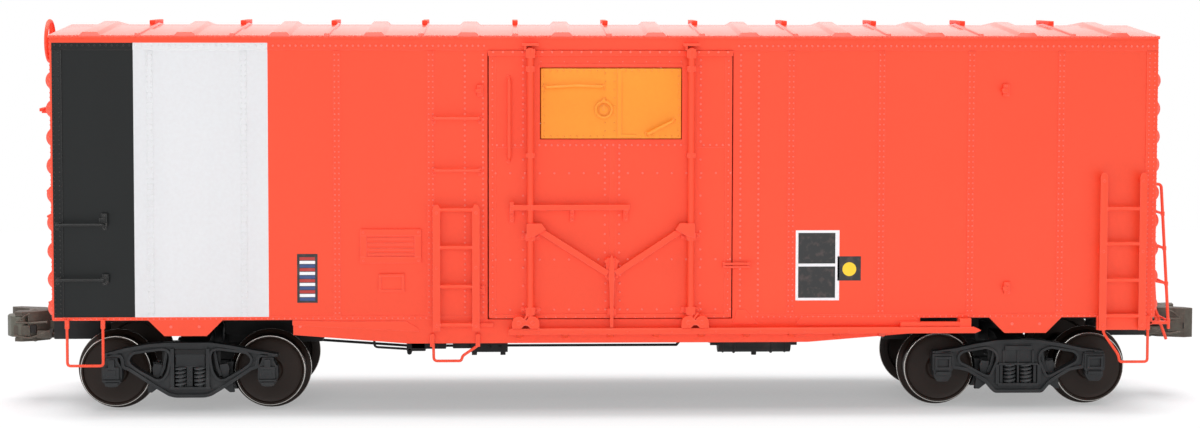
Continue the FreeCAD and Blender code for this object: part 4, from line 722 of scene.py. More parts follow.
# ---------------------------------------------------------------- end ladders
# A light wire ladder at one corner of each end, that leans out towards its foot and is held by
# short stays and a foot plate.
LADDER_OUTER = -14.4
LADDER_INNER = -8.2
LADDER_HEAD = (END_FACE + 1.4, 31.0)
LADDER_FOOT = (END_FACE + 2.7, 11.3)
rails = bmesh.new()
for y in (LADDER_OUTER, LADDER_INNER):
    wire(rails, [(END_FACE - 0.2, y, LADDER_HEAD[1]), (LADDER_HEAD[0], y, LADDER_HEAD[1]),
                 (LADDER_FOOT[0], y, LADDER_FOOT[1] + 0.05)], 0.21, 0.5)
for height in (27.0, 22.3, 17.5, 12.4):
    share = (LADDER_HEAD[1] - height) / (LADDER_HEAD[1] - LADDER_FOOT[1])
    x = LADDER_HEAD[0] + share * (LADDER_FOOT[0] - LADDER_HEAD[0])
    wire(rails, [(x, LADDER_OUTER, height), (x, LADDER_INNER, height)], 0.17)
    for y in (LADDER_OUTER, LADDER_INNER):
        slab(rails, (x - 0.25, x + 0.24), (y - 0.24, y + 0.24), (height - 0.3, height + 0.3), 0.09)
    if height > SIDE_BOTTOM:
        wire(rails, [(END_FACE - 0.1, LADDER_OUTER, height + 0.5), (x, LADDER_OUTER, height)], 0.15)
slab(rails, (END_FACE - 0.1, LADDER_FOOT[0] - 0.1), (LADDER_OUTER - 0.35, LADDER_OUTER + 0.5),
     (12.0, 12.4), 0.06)
slab(rails, (END_FACE - 0.1, END_FACE + 0.4), (LADDER_OUTER - 0.35, LADDER_OUTER + 0.5), (11.95, 13.9), 0.08)
rivets(rails, [(END_FACE + 0.4, LADDER_OUTER + 0.08, 13.4)], 0.2, 0.13, out=(1, 0, 0))
both_ends("end_ladder_{}_wires", rails, BODY_PAINT, node="end_ladder_{}")

# ---------------------------------------------------------------- sill steps
# Stirrups bent from round bar under both corners and under the ladder beside the door. The one
# by the end ladder hangs from a flat plate.
STEP_BACK = corners("steps_right")[0].y
STEP_Y = STEP_BACK + 0.27
STEP_RADIUS = 0.19
steps = bmesh.new()
wire(steps, [(-71.5, STEP_Y, 13.4), (-71.5, STEP_Y, 7.33), (-66.8, STEP_Y, 7.33), (-66.8, STEP_Y, 13.4)],
     STEP_RADIUS, 0.45, 12)
wire(steps, [(-23.25, STEP_Y, 10.0), (-23.2, STEP_Y, 7.8), (-19.55, STEP_Y, 7.8), (-19.4, STEP_Y, 8.45),
             (-17.2, STEP_Y, 9.95)], STEP_RADIUS, 0.5, 12)
wire(steps, [(66.2, STEP_Y, 13.2), (66.5, STEP_Y, 11.2), (68.6, STEP_Y, 8.2), (68.7, STEP_Y, 7.3),
             (72.5, STEP_Y, 7.3), (72.5, STEP_Y, 13.2)], STEP_RADIUS, 0.45, 12)
plate(steps, [(65.55, 11.65), (72.75, 11.65), (72.75, 13.55), (65.55, 13.55)], STEP_BACK + 0.02,
      FACE + 0.1, 0.06)
for x, z in ((-71.5, 13.0), (-66.8, 13.0), (66.2, 12.6), (72.45, 12.6)):
    slab(steps, (x - 0.28, x + 0.28), (STEP_BACK + 0.06, FACE + 0.1), (z - 0.75, z + 0.45), 0.08)
    rivets(steps, [(x, STEP_BACK + 0.06, z - 0.2)], 0.2, 0.07)
for x in (-23.4, -17.35):
    slab(steps, (x - 0.3, x + 0.3), (STEP_BACK + 0.1, FACE + 0.1), (9.7, 11.4), 0.07)
both_sides("sill_steps", steps, BODY_PAINT, node="steps")

# ---------------------------------------------------------------- placard boards
# Two thin pressed boards on the side. The larger has a raised rim and four clips that would
# hold a card, and the smaller a plain recess.
BOARD_FRONT = FACE - 0.27
BOARDS = (
    # left, right, bottom, top, width of the rim
    (-32.9, -24.85, 20.85, 25.35, 0.85),
    (-30.47, -27.08, 17.02, 19.38, 0.3),
)
boards = bmesh.new()
for left, right, low, high, rim in BOARDS:
    slab(boards, (left + 0.1, right - 0.1), (BOARD_FRONT + 0.15, FACE + 0.1), (low + 0.1, high - 0.1), 0.02)
    for x0, x1, z0, z1, sunk in ((left, right, low, low + rim, 0), (left, right, high - rim, high, 0),
                                 (left, left + rim, low + rim - 0.06, high - rim + 0.06, 0.02),
                                 (right - rim, right, low + rim - 0.06, high - rim + 0.06, 0.02)):
        slab(boards, (x0, x1), (BOARD_FRONT + sunk, FACE + 0.1), (z0, z1), 0.04)
for z in (22.05, 22.7, 23.4, 24.1):
    slab(boards, (-31.9, -25.9), (BOARD_FRONT + 0.01, FACE), (z - 0.13, z + 0.13), 0.05)
rivets(boards, [(x, BOARD_FRONT, z) for x in (-32.5, -25.2) for z in (21.2, 25.0)], 0.16, 0.09)
both_sides("placard_boards", boards, BODY_PAINT, node="placard_boards")

# ---------------------------------------------------------------- hand brake
# A spoked cast wheel on the brake end turns a shaft in a gear housing, and a chain rod runs
# down the end from it. A slatted step on two braces is below.
wheel_low, wheel_high = corners("brake_wheel")
WHEEL_MIDDLE = (wheel_low + wheel_high) / 2
wheel_out = Vector((-1, 0, 0))
rim_radius = (wheel_high.z - wheel_low.z) / 2 - 0.3
brake = bmesh.new()
wire(brake, [WHEEL_MIDDLE + Vector((0, y, z)) for y, z in circle((0, 0), rim_radius, 41, 9)], 0.29)
for step in range(5):
    turn = math.radians(90 + 72 * step)
    way = Vector((0, math.cos(turn), math.sin(turn)))
    wire(brake, [WHEEL_MIDDLE + way * 0.4, WHEEL_MIDDLE + wheel_out * -0.12 + way * 1.6,
                 WHEEL_MIDDLE + way * rim_radius], 0.22, 0.5, 8)
wire(brake, [WHEEL_MIDDLE + wheel_out * 0.42, WHEEL_MIDDLE - wheel_out * 0.42], 0.72, sides=18)
wire(brake, [WHEEL_MIDDLE + wheel_out * 0.4, WHEEL_MIDDLE + wheel_out * 0.44], 0.34, sides=6)
piece("brake_wheel_casting", brake, BODY_PAINT, stands_for=("brake_wheel",))

eased("brake_gear_housing", "brake_housing", BODY_PAINT, 0.12)
housing_face = corners("brake_housing")[0].x
brake = bmesh.new()
for y in (-1.05, 1.05):
    for z in (47.2, 49.9):
        rivets(brake, [(housing_face + 0.6, WHEEL_MIDDLE.y + y, z)], 0.24, 0.14, out=(-1, 0, 0))
for z in (47.0, 49.5):
    flange = (WHEEL_MIDDLE.y - 2.0, WHEEL_MIDDLE.y + 2.0)
    slab(brake, (housing_face + 0.9, -HALF + 0.1), flange, (z, z + 0.5), 0.08)
for z in (43.0, 33.0, 20.5):
    slab(brake, (-HALF - 2.0, -HALF + 0.1), (WHEEL_MIDDLE.y - 0.35, WHEEL_MIDDLE.y + 0.35), (z, z + 0.4),
         0.07)
piece("brake_housing_bolts", brake, BODY_PAINT)

foothold_low, foothold_high = corners("brake_step")
brake = bmesh.new()
for share in range(4):
    x0 = foothold_low.x + 0.05 + share * 1.05
    slab(brake, (x0, x0 + 0.62), (foothold_low.y + 0.05, foothold_high.y - 0.05),
         (foothold_high.z - 0.45, foothold_high.z), 0.06)
for y in (foothold_low.y + 0.35, foothold_high.y - 0.9):
    slab(brake, (foothold_low.x + 0.3, -HALF + 0.1), (y, y + 0.55),
         (foothold_high.z - 0.7, foothold_high.z - 0.25), 0.06)
    wire(brake, [(foothold_low.x + 1.0, y + 0.28, foothold_high.z - 0.5),
                 (-HALF - 0.2, y + 0.28, foothold_low.z + 0.5)], 0.22)
slab(brake, (-HALF - 0.35, -HALF + 0.1), (foothold_low.y + 0.3, foothold_high.y - 0.3),
     (foothold_low.z + 0.1, foothold_high.z), 0.08)
piece("brake_foothold", brake, BODY_PAINT, stands_for=("brake_step",))

# ---------------------------------------------------------------- cut levers
# A bent wire across each end, held in two eyes, that lifts the coupler's locking pin. The
# handle hangs at the corner.
LEVER_OUT = END_FACE + 1.1
lever = bmesh.new()
wire(lever, [(LEVER_OUT + 1.8, -12.6, 9.65), (LEVER_OUT, -13.0, 14.2), (LEVER_OUT, -3.0, 14.2),
             (LEVER_OUT + 2.95, -1.2, 13.2)], 0.21, 0.6)
for y in (-12.05, -4.65):
    slab(lever, (END_FACE - 0.1, LEVER_OUT + 0.28), (y - 0.32, y + 0.32), (13.85, 14.55), 0.1)
    slab(lever, (END_FACE - 0.1, END_FACE + 0.25), (y - 0.55, y + 0.55), (13.6, 15.0), 0.08)
    rivets(lever, [(END_FACE + 0.25, y, 14.8)], 0.18, 0.12, out=(1, 0, 0))
both_ends("cut_lever_{}_rod", lever, BODY_PAINT, node="cut_lever_{}")

# ---------------------------------------------------------------- floor and underframe
# A moulded black floor with plank lines, and under it the channel centre sill with its
# crossbearers and body bolsters.
BLACK_PLASTIC = (0.011, 0.011, 0.0115)


def moulded(name, colour, gloss=0.55, edge_wear_and_highlight=0.5):
    """Matt injection-moulded plastic: fine grain, slight sheen, dust, and paler edges where handling rubs
    them, with a painted highlight on them.
    """
    material, tree, shader = new_material(name)
    cloud = spread(tree, noise_at(tree, 14.0, 5.0), 0.0, 1.0)
    tone = blend_colour(tree, cloud, scaled_colour(colour, 0.8), scaled_colour(colour, 1.3))
    above = maths(tree, "SUBTRACT", noise_at(tree, 3.0, 6.0), 0.5)
    dust = maths(tree, "MULTIPLY", maths(tree, "MAXIMUM", above, 0.0), 0.35)
    tone = blend_colour(tree, dust, tone, (0.20, 0.19, 0.18))
    # Paler edges: handling rubs them, and a painted highlight lies over them.
    tone = blend_colour(tree, worn_and_highlit_edges(tree, 0.1, edge_wear_and_highlight), tone,
                        tuple(part * 1.5 + 0.035 for part in colour))
    rough = spread(tree, noise_at(tree, 2.0), gloss - 0.08, gloss + 0.15)
    bump = tree.nodes.new("ShaderNodeBump")
    bump.inputs["Strength"].default_value = 0.5
    bump.inputs["Distance"].default_value = 0.02 * MM
    link(tree, tone, shader.inputs["Base Color"], rough, shader.inputs["Roughness"],
         noise_at(tree, 0.18, 3.0), bump.inputs["Height"], bump.outputs[0], shader.inputs["Normal"])
    shader.inputs["Specular IOR Level"].default_value = 0.3
    return material


def paint_node(node, material):
    """Give a construction part that keeps its shape its finish."""
    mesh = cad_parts[node].data
    mesh.materials.clear()
    mesh.materials.append(material)


BLACK = moulded("black_plastic", BLACK_PLASTIC)
paint_node("floor", BLACK)
eased("underframe_beams", "underframe", BLACK, 0.09)
planks = bmesh.new()
plank_low, plank_high = corners("floor")
for x in row(plank_low.x + 2.0, plank_high.x - 2.0, 3.4):
    for side in (-1, 1):
        slab(planks, (x - 1.6, x + 1.6), (side * 3.5, side * 16.0),
             (SIDE_BOTTOM - 0.1, SIDE_BOTTOM + 0.1), 0.04)
for x in row(-46.0, 46.0, 2.0):
    for side in (-1, 1):
        rivets(planks, [(x, side * 3.4, 10.1), (x + 1.0, side * 3.4, 12.6)], 0.15, 0.08, out=(0, side, 0))
for side in (-1, 1):
    slab(planks, (side * 39.0, side * 51.9), (-3.4, 3.4), (8.35, 9.5), 0.08)
piece("floor_planks", planks, BLACK)

# ---------------------------------------------------------------- air brake
# The reservoir, brake cylinder and control valve are separate moulded details glued below the
# floor. Thin pipes and rods join them to the lever.
for name, node, width in (("reservoir_tank", "air_reservoir", 0.16),
                          ("control_valve_body", "control_valve", 0.14),
                          ("brake_cylinder_body", "brake_cylinder", 0.14)):
    eased(name, node, BLACK, width)
eased("brake_rods_and_lever", "brake_rods", BLACK, 0.06)
tank_low, tank_high = corners("air_reservoir")
valve_low, valve_high = corners("control_valve")
pipes = bmesh.new()
tank_y = -8.2
tank_z = 9.55
BAND_RADIUS = 2.12                # thin bands round the tank, and straps a little proud of them
STRAP_RADIUS = 2.14
for x in (tank_low.x + 1.7, tank_high.x - 1.7):
    wire(pipes, [(x, y, z) for y, z in circle((tank_y, tank_z), BAND_RADIUS, 21, 18)], 0.1, sides=6)
for x in (17.55, 22.65):
    wire(pipes, [(x, y, z) for y, z in circle((tank_y, tank_z), STRAP_RADIUS, 21, 18)], 0.16, sides=6)
wire(pipes, [(tank_low.x + 0.4, tank_y, 8.8), (11.5, tank_y, 9.3), (-10.0, tank_y, 9.6),
             (valve_high.x - 0.3, tank_y, 9.2)], 0.17, 1.0)
wire(pipes, [(valve_low.x + 0.6, -6.5, 9.0), (-24.0, -5.0, 11.0), (-40.0, -5.0, 11.6)], 0.2, 1.5)
for z in (8.5, 10.1):
    rivets(pipes, [(x, valve_low.y, z) for x in (-17.4, -15.9, -14.4)], 0.26, 0.16)
slab(pipes, (-18.1, -13.8), (valve_low.y - 0.02, valve_low.y + 0.4), (9.1, 9.4), 0.06)
for x0, x1, z0 in ((-27.2, -21.8, 8.05), (-20.9, -18.3, 8.1), (-22.2, -20.6, 8.75), (-26.6, -24.6, 7.75)):
    slab(pipes, (x0, x1), (-8.6, -7.4), (z0, 9.6), 0.12)
wire(pipes, [(-31.6, -8.2, 9.4), (-31.6, -8.2, 8.3), (-27.0, -8.2, 8.0)], 0.16, 0.5)
piece("brake_pipes", pipes, BLACK)

# ---------------------------------------------------------------- draft gear boxes
# Black moulded boxes under the ends of the floor that the coupler shanks swing in. Each has a
# lid, held on by one screw from below.
for end in ("a", "b"):
    eased(f"draft_box_{end}_shell", f"draft_box_{end}", BLACK, 0.12)
box_low, box_high = corners("draft_box_a")
screws = bmesh.new()
wire(screws, [(71.6, 0, box_low.z + 0.3), (71.6, 0, box_low.z)], 1.35, sides=24)
for side in (-1, 1):
    slab(screws, (box_low.x + 0.6, box_high.x - 0.6), (side * 3.2, side * 3.6),
         (box_low.z + 0.02, box_low.z + 0.3), 0.05)
both_ends("draft_box_{}_lid", screws, BLACK)

# ---------------------------------------------------------------- truck sideframes
# Dark grey plastic castings with raised rims round their windows, coil springs in the middle
# and journal boxes over the axle ends. The two trucks are different patterns.
TRUCK_GREY = (0.019, 0.0205, 0.022)
TRUCK_PLASTIC = moulded("truck_plastic", TRUCK_GREY, 0.46, 0.55)
# The springs take a lighter copy of the truck plastic: a painted highlight on the coils.
HIGHLIT_SPRING_GREY = moulded("highlit_spring_plastic", (0.046, 0.049, 0.051), 0.42, 0.6)
TRUCK_AT = 56.0
AXLE_AT = 10.4
BOX_FRONT = corners("sideframes_b")[0].y
RIM_FRONT = BOX_FRONT + 0.75
WEB_FRONT = RIM_FRONT + 0.38
WEB_BACK = -11.25
TOP_B = [(-11.45, 8.26), (-8.28, 9.05), (-5.33, 9.55), (-2.59, 9.7), (2.7, 9.7), (5.64, 9.26),
         (8.75, 8.6), (11.4, 8.15)]
UNDER_B = [(11.4, 7.75), (9.3, 7.75), (9.1, 6.2), (8.3, 6.0), (4.93, 3.75), (2.89, 2.5), (1.95, 2.27),
           (-1.95, 2.27), (-2.89, 2.5), (-4.93, 3.75), (-8.3, 6.0), (-9.1, 6.2), (-9.3, 7.75), (-11.4, 7.75)]
WINDOW_B = [(-8.1, 7.4), (-7.6, 8.15), (-3.75, 8.68), (-3.0, 8.5), (-2.78, 7.7), (-3.1, 5.8),
            (-3.7, 4.85), (-4.45, 4.7), (-6.85, 6.05), (-7.9, 6.85)]
TOP_A = [(-11.4, 8.15), (-8.7, 8.5), (-6.0, 9.1), (-2.8, 9.62), (0, 9.7), (2.8, 9.62), (6.0, 9.1),
         (8.7, 8.5), (11.4, 8.15)]
UNDER_A = [(11.4, 7.75), (9.3, 7.75), (9.1, 5.75), (8.2, 5.63), (7.0, 5.4), (4.49, 3.8), (3.31, 2.4),
           (-3.31, 2.4), (-4.49, 3.8), (-7.0, 5.4), (-8.2, 5.63), (-9.1, 5.75), (-9.3, 7.75), (-11.4, 7.75)]
WINDOW_A = [(-8.1, 7.35), (-7.6, 7.9), (-4.4, 8.45), (-3.25, 8.0), (-2.95, 7.04), (-3.95, 4.8),
            (-4.5, 4.9), (-7.9, 6.7)]
BOLSTER_GAP = [(-2.12, 8.78), (-2.12, 3.6), (2.12, 3.6), (2.12, 8.78)]
COLUMN_RIB = [(3.1, 8.65), (3.42, 8.65), (3.42, 7.6), (3.78, 6.3), (4.25, 5.15), (3.85, 5.05), (3.4, 6.2),
              (3.08, 7.6)]
SHOE_END = [(3.85, 6.6), (4.9, 6.75), (5.15, 6.2), (5.05, 5.1), (4.4, 4.75), (3.95, 5.3)]
BEAM_LUG = [(4.1, 3.7), (5.2, 2.85), (5.8, 2.85), (5.6, 4.6), (4.6, 4.3)]
LID_STEPS = (
    # half width, bottom, top, set back from the box's front
    (1.02, 4.85, 6.5, 0.18), (1.22, 4.52, 4.8, 0.03), (0.85, 3.9, 4.4, 0.3), (0.42, 6.3, 7.5, 0.14),
    (0.62, 5.3, 6.1, 0.06),
)
SPRING_NESTS = {
    # left, right, bottom, top, set back from the frame's rim
    "b": ((-2.02, 2.02, 6.4, 8.1, 0.5), (-2.02, 2.02, 7.75, 8.05, 0.24), (-2.02, 2.02, 6.35, 6.6, 0.26),
          (-1.6, -0.35, 7.0, 7.6, 0.32), (0.2, 1.4, 6.75, 7.25, 0.34), (-0.1, 0.15, 6.6, 7.8, 0.4),
          (-0.48, 0.3, 3.7, 6.4, 0.3), (-2.75, 2.75, 3.35, 3.7, 0.0), (2.0, 2.1, 3.8, 4.9, 0.2)),
    "a": ((-1.85, 1.85, 8.22, 8.85, 0.0), (-2.1, 2.1, 6.4, 8.3, 0.5), (-2.15, -1.85, 6.4, 8.2, 0.12),
          (-0.18, 0.18, 6.4, 8.2, 0.16), (1.85, 2.15, 6.4, 8.2, 0.12), (-2.68, 2.68, 6.2, 6.5, -0.04),
          (-1.4, -0.6, 6.85, 7.55, 0.32), (0.6, 1.4, 6.85, 7.55, 0.32), (-2.75, 2.75, 3.35, 3.72, 0.0),
          (-2.5, -2.1, 3.7, 6.2, 0.2), (-0.14, 0.14, 3.7, 6.2, 0.2), (2.1, 2.5, 3.7, 6.2, 0.2)),
}
SPRING_GAP = [(-2.65, 6.25), (2.65, 6.25), (2.65, 3.75), (2.4, 3.55), (-2.4, 3.55), (-2.65, 3.75)]


def rounded(points, reach, steps=3):
    """A closed outline with its corners rounded."""
    smooth = []
    for index, corner in enumerate(points):
        before = Vector((*points[index - 1], 0))
        here = Vector((*corner, 0))
        after = Vector((*points[(index + 1) % len(points)], 0))
        inset = min(reach, (before - here).length * 0.45, (after - here).length * 0.45)
        start = here + (before - here).normalized() * inset
        end = here + (after - here).normalized() * inset
        for step in range(steps + 1):
            share = step / steps
            spot = start.lerp(here, share).lerp(here.lerp(end, share), share)
            smooth.append((spot.x, spot.y))
    return smooth


def pierced(bm, outline, holes, low, high, soft=0.06):
    """A cast web along the car: an outline with holes through it, between two Y planes."""
    loops = [outline] + list(holes)
    flat = [(x, z) for loop in loops for x, z in loop]
    triangles = tessellate_polygon([[Vector((x, z, 0)) for x, z in loop] for loop in loops])
    layers = [[bm.verts.new((x, y, z)) for x, z in flat] for y in (low, high)]
    for layer in layers:
        for triangle in triangles:
            bm.faces.new([layer[index] for index in triangle])
    rims = []
    start = 0
    for loop in loops:
        size = len(loop)
        for index in range(size):
            here, after = start + index, start + (index + 1) % size
            bm.faces.new((layers[0][here], layers[0][after], layers[1][after], layers[1][here]))
            rims.append(bm.edges.get((layers[0][here], layers[0][after])))
        start += size
    bmesh.ops.bevel(bm, geom=rims, offset=soft, segments=2, profile=0.6, affect="EDGES", clamp_overlap=True)


def hoop(points, width):
    """The band between an outline and the same outline moved inwards."""
    inner = []
    count = len(points)
    area = sum(points[i][0] * points[(i + 1) % count][1] - points[(i + 1) % count][0] * points[i][1]
               for i in range(count))
    turn = 1 if area > 0 else -1
    for index in range(count):
        before, here, after = (Vector(points[(index + shift) % count]) for shift in (-1, 0, 1))
        first = (here - before).normalized()
        second = (after - here).normalized()
        normal = Vector((-first.y - second.y, first.x + second.x)) * turn
        normal = normal.normalized() / max(0.5, math.sqrt(max(0.0, (1 + first.dot(second)) / 2)))
        inner.append(tuple(here + normal * width))
    return inner


def coil(bm, x, y, low, high, radius, thick, turns=4):
    """A coil spring standing on end, round a core."""
    steps = turns * 14
    path = []
    for step in range(steps + 1):
        turn = 2 * math.pi * step / 14
        path.append((x + radius * math.cos(turn), y + radius * math.sin(turn),
                     low + (high - low) * step / steps))
    wire(bm, path, thick, sides=6)
    wire(bm, [(x, y, low), (x, y, high)], radius * 0.55, sides=10)


def journal_box(bm, x, letter):
    """The box over one axle end, with its lid and the stepped cap below it."""
    if letter == "b":
        body = [(x - 0.8, 7.7), (x - 0.85, 6.8), (x - 1.35, 6.6), (x - 1.35, 4.9), (x - 1.05, 4.15),
                (x - 0.5, 3.75), (x + 0.5, 3.75), (x + 1.05, 4.15), (x + 1.35, 4.9), (x + 1.35, 6.6),
                (x + 0.85, 6.8), (x + 0.8, 7.7)]
        plate(bm, rounded(body, 0.2, 2), RIM_FRONT - 0.15, WEB_BACK, 0.1)
        for reach, low, high, lift in LID_STEPS:
            slab(bm, (x - reach, x + reach), (BOX_FRONT + lift, RIM_FRONT), (low, high), 0.09)
    else:
        plate(bm, rounded([(x - 1.4, 7.8), (x - 1.4, 5.5), (x + 1.4, 5.5), (x + 1.4, 7.8)], 0.15, 2),
              RIM_FRONT - 0.25, WEB_BACK, 0.1)
        pierced(bm, [(x - 1.12, 5.72), (x + 1.12, 5.72), (x + 1.12, 7.5), (x - 1.12, 7.5)],
                [[(x - 0.78, 6.05), (x + 0.78, 6.05), (x + 0.78, 7.15), (x - 0.78, 7.15)]],
                BOX_FRONT + 0.08, RIM_FRONT, 0.06)
        cap = [(x - 1.25, 5.55), (x - 1.2, 4.75), (x - 0.7, 4.0), (x + 0.7, 4.0), (x + 1.2, 4.75),
               (x + 1.25, 5.55)]
        plate(bm, rounded(cap, 0.15, 2), RIM_FRONT - 0.12, WEB_BACK, 0.1)
        slab(bm, (x - 0.95, x + 0.95), (BOX_FRONT + 0.2, RIM_FRONT), (4.95, 5.4), 0.1)


def spring_nest(bm, letter):
    """Bolster end and the posts between the springs, in the middle of a frame."""
    for left, right, low, high, back in SPRING_NESTS[letter]:
        slab(bm, (left, right), (RIM_FRONT + back, WEB_BACK), (low, high), 0.06)
    if letter == "b":
        rivets(bm, [(-0.1, RIM_FRONT + 0.3, z) for z in (4.3, 5.0, 5.7)], 0.2, 0.1)


def near_sideframe(bm, letter):
    """The right-hand frame of a truck, about the truck's middle."""
    top, under, window = (TOP_B, UNDER_B, WINDOW_B) if letter == "b" else (TOP_A, UNDER_A, WINDOW_A)
    middle = BOLSTER_GAP if letter == "b" else SPRING_GAP
    outline = rounded(top + under, 0.35)
    windows = [rounded(window, 0.45), rounded([(-x, z) for x, z in reversed(window)], 0.45),
               rounded(middle, 0.15)]
    pierced(bm, outline, windows, WEB_FRONT, WEB_BACK)
    pierced(bm, outline, [hoop(outline, 0.42)], RIM_FRONT, WEB_FRONT + 0.2)
    for opening in windows[:2]:
        pierced(bm, hoop(opening, -0.32), [opening], RIM_FRONT + 0.04, WEB_FRONT + 0.2, 0.05)
    spring_nest(bm, letter)
    for end in (-1, 1):
        x = end * AXLE_AT
        journal_box(bm, x, letter)
        slab(bm, (x, x + end * 1.3), (RIM_FRONT + 0.1, WEB_BACK), (7.75, 8.15), 0.08)
        foot = end * (2.12 if letter == "b" else 2.6)
        slab(bm, (foot, foot + end * 0.5), (RIM_FRONT, WEB_BACK), (3.6, 8.9 if letter == "b" else 6.3), 0.07)
        shaped = [[(end * a, z) for a, z in points] for points in (COLUMN_RIB, SHOE_END, BEAM_LUG)]
        for points, front in zip(shaped, (WEB_FRONT + 0.25, WEB_FRONT + 0.45, WEB_FRONT + 0.35)):
            plate(bm, points, front, WEB_BACK, 0.07)


for letter, side in (("b", -1), ("a", 1)):
    casting, coils, backing = bmesh.new(), bmesh.new(), bmesh.new()
    near_sideframe(casting, letter)
    for x in (-1.3, 1.28) if letter == "b" else (-1.12, 1.12):
        coil(coils, x, (RIM_FRONT + WEB_BACK) / 2 - 0.25, 3.7, 6.35, 0.66, 0.19, 5)
    slab(backing, (-3.9, 3.9), (WEB_BACK - 0.05, WEB_BACK + 0.25), (3.6, 8.8), 0.03)
    if letter == "b":
        slab(backing, (-2.08, 2.08), (RIM_FRONT + 0.23, WEB_BACK), (8.12, 8.76), 0.03)
    nodes = (f"sideframes_{letter}",)
    for name, mesh, finish, stands_for in (("sideframe_castings", casting, TRUCK_PLASTIC, nodes),
                                           ("coil_springs", coils, HIGHLIT_SPRING_GREY, ()),
                                           ("spring_backing", backing, BLACK, ())):
        far = turned(mesh)
        spare = bpy.data.meshes.new("far")
        far.to_mesh(spare)
        far.free()
        mesh.from_mesh(spare)
        bpy.data.meshes.remove(spare)
        bmesh.ops.translate(mesh, vec=(side * TRUCK_AT, 0, 0), verts=mesh.verts)
        piece(f"{name}_{letter}", mesh, finish, f"truck_{letter}", stands_for, 32.0)

# ---------------------------------------------------------------- truck bolsters and brake beams
# The bolster crosses the truck and carries the centre plate that the body turns on. Behind each
# pair of wheels is a beam with curved brake shoes.
for letter in ("a", "b"):
    eased(f"truck_bolster_{letter}_beam", f"truck_bolster_{letter}", TRUCK_PLASTIC, 0.12,
          f"truck_{letter}")
    eased(f"brake_beams_{letter}_shoes", f"brake_beams_{letter}", TRUCK_PLASTIC, 0.07,
          f"truck_{letter}")

# ---------------------------------------------------------------- wheels and axles
# Turned metal wheels, blackened all over and rubbed bright at their sharp rims. Each face has
# a raised rim and hub, and the axle ends in points that spin in the sideframes.
FLANGE_RADIUS = 5.43
BRIGHT_FROM = (4.66, 9.72)        # radius and distance from the middle at which the tread's edge is bright


def turned_metal(name, dark, bright):
    """Blackened turned metal with fine lathe rings, and bright lines at the tread edge and flange tip."""
    material, tree, shader = new_material(name)
    place = tree.nodes.new("ShaderNodeTexCoord")
    axes = tree.nodes.new("ShaderNodeSeparateXYZ")
    flat = tree.nodes.new("ShaderNodeCombineXYZ")
    distance = tree.nodes.new("ShaderNodeVectorMath")
    distance.operation = "LENGTH"
    link(tree, place.outputs["Object"], axes.inputs[0], axes.outputs["X"], flat.inputs["X"],
         axes.outputs["Z"], flat.inputs["Z"], flat.outputs[0], distance.inputs[0])
    radius = distance.outputs["Value"]
    across = maths(tree, "ABSOLUTE", axes.outputs["Y"])
    rings = maths(tree, "SINE", maths(tree, "MULTIPLY", radius, 60000.0))
    tread_edge = maths(tree, "MULTIPLY", maths(tree, "GREATER_THAN", radius, BRIGHT_FROM[0] * MM),
                       maths(tree, "GREATER_THAN", across, BRIGHT_FROM[1] * MM))
    flange_tip = maths(tree, "GREATER_THAN", radius, (FLANGE_RADIUS - 0.07) * MM)
    polished = maths(tree, "MAXIMUM", tread_edge, flange_tip)
    cloud = spread(tree, noise_at(tree, 4.0, 4.0), 0.0, 1.0)
    face = blend_colour(tree, cloud, scaled_colour(dark, 0.75), scaled_colour(dark, 1.35))
    bright_tone = blend_colour(tree, cloud, scaled_colour(bright, 0.55), bright)
    tone = blend_colour(tree, polished, face, bright_tone)
    shade = maths(tree, "MULTIPLY_ADD", rings, 0.05, 0.36)
    rough = maths(tree, "SUBTRACT", shade, maths(tree, "MULTIPLY", polished, 0.14))
    bump = tree.nodes.new("ShaderNodeBump")
    bump.inputs["Strength"].default_value = 0.3
    bump.inputs["Distance"].default_value = 0.01 * MM
    metal = maths(tree, "MULTIPLY_ADD", polished, 0.7, 0.05)
    shader.inputs["Specular IOR Level"].default_value = 0.22
    link(tree, tone, shader.inputs["Base Color"], rough, shader.inputs["Roughness"], metal,
         shader.inputs["Metallic"], rings, bump.inputs["Height"], bump.outputs[0], shader.inputs["Normal"])
    return material


WHEEL_METAL = turned_metal("wheel_metal", (0.021, 0.0125, 0.0090), (0.80, 0.77, 0.73))
WHEEL_SECTION = [
    # radius and distance from the middle, from the axle out over one wheel
    (1.05, 0.0), (1.05, 7.0), (1.18, 7.08), (1.45, 7.12), (1.55, 7.25), (1.75, 8.45), (2.0, 8.58),
    (3.7, 8.58), (3.92, 8.5), (4.12, 7.4), (4.25, 7.22), (5.0, 7.2), (5.2, 7.26), (5.38, 7.4),
    (5.43, 7.52), (5.4, 7.66), (5.2, 7.84), (4.95, 7.98), (4.83, 8.12), (4.81, 8.4), (4.77, 9.88),
    (4.72, 9.97), (4.64, 10.0), (4.5, 10.0), (4.42, 9.95), (4.3, 9.76), (4.16, 9.7), (3.7, 9.66),
    (1.95, 9.68), (1.76, 9.74), (1.58, 10.1), (1.46, 10.22), (1.2, 10.25), (0.66, 10.25),
    (0.62, 10.3), (0.62, 11.35), (0.05, 12.72),
]


def spun(bm, section, x, z, steps=72):
    """A section spun round a Y axis, mirrored about the middle of the car."""
    half = section[1:]
    whole = [(radius, -y) for radius, y in reversed(half)] + [section[0]] + half
    loops = []
    for step in range(steps):
        turn = 2 * math.pi * step / steps
        loops.append([bm.verts.new((x + radius * math.cos(turn), y, z + radius * math.sin(turn)))
                      for radius, y in whole])
    for step in range(steps):
        first, second = loops[step], loops[(step + 1) % steps]
        for index in range(len(whole) - 1):
            bm.faces.new((first[index], first[index + 1], second[index + 1], second[index]))
    for index in (0, len(whole) - 1):
        bm.faces.new([loop[index] for loop in loops])


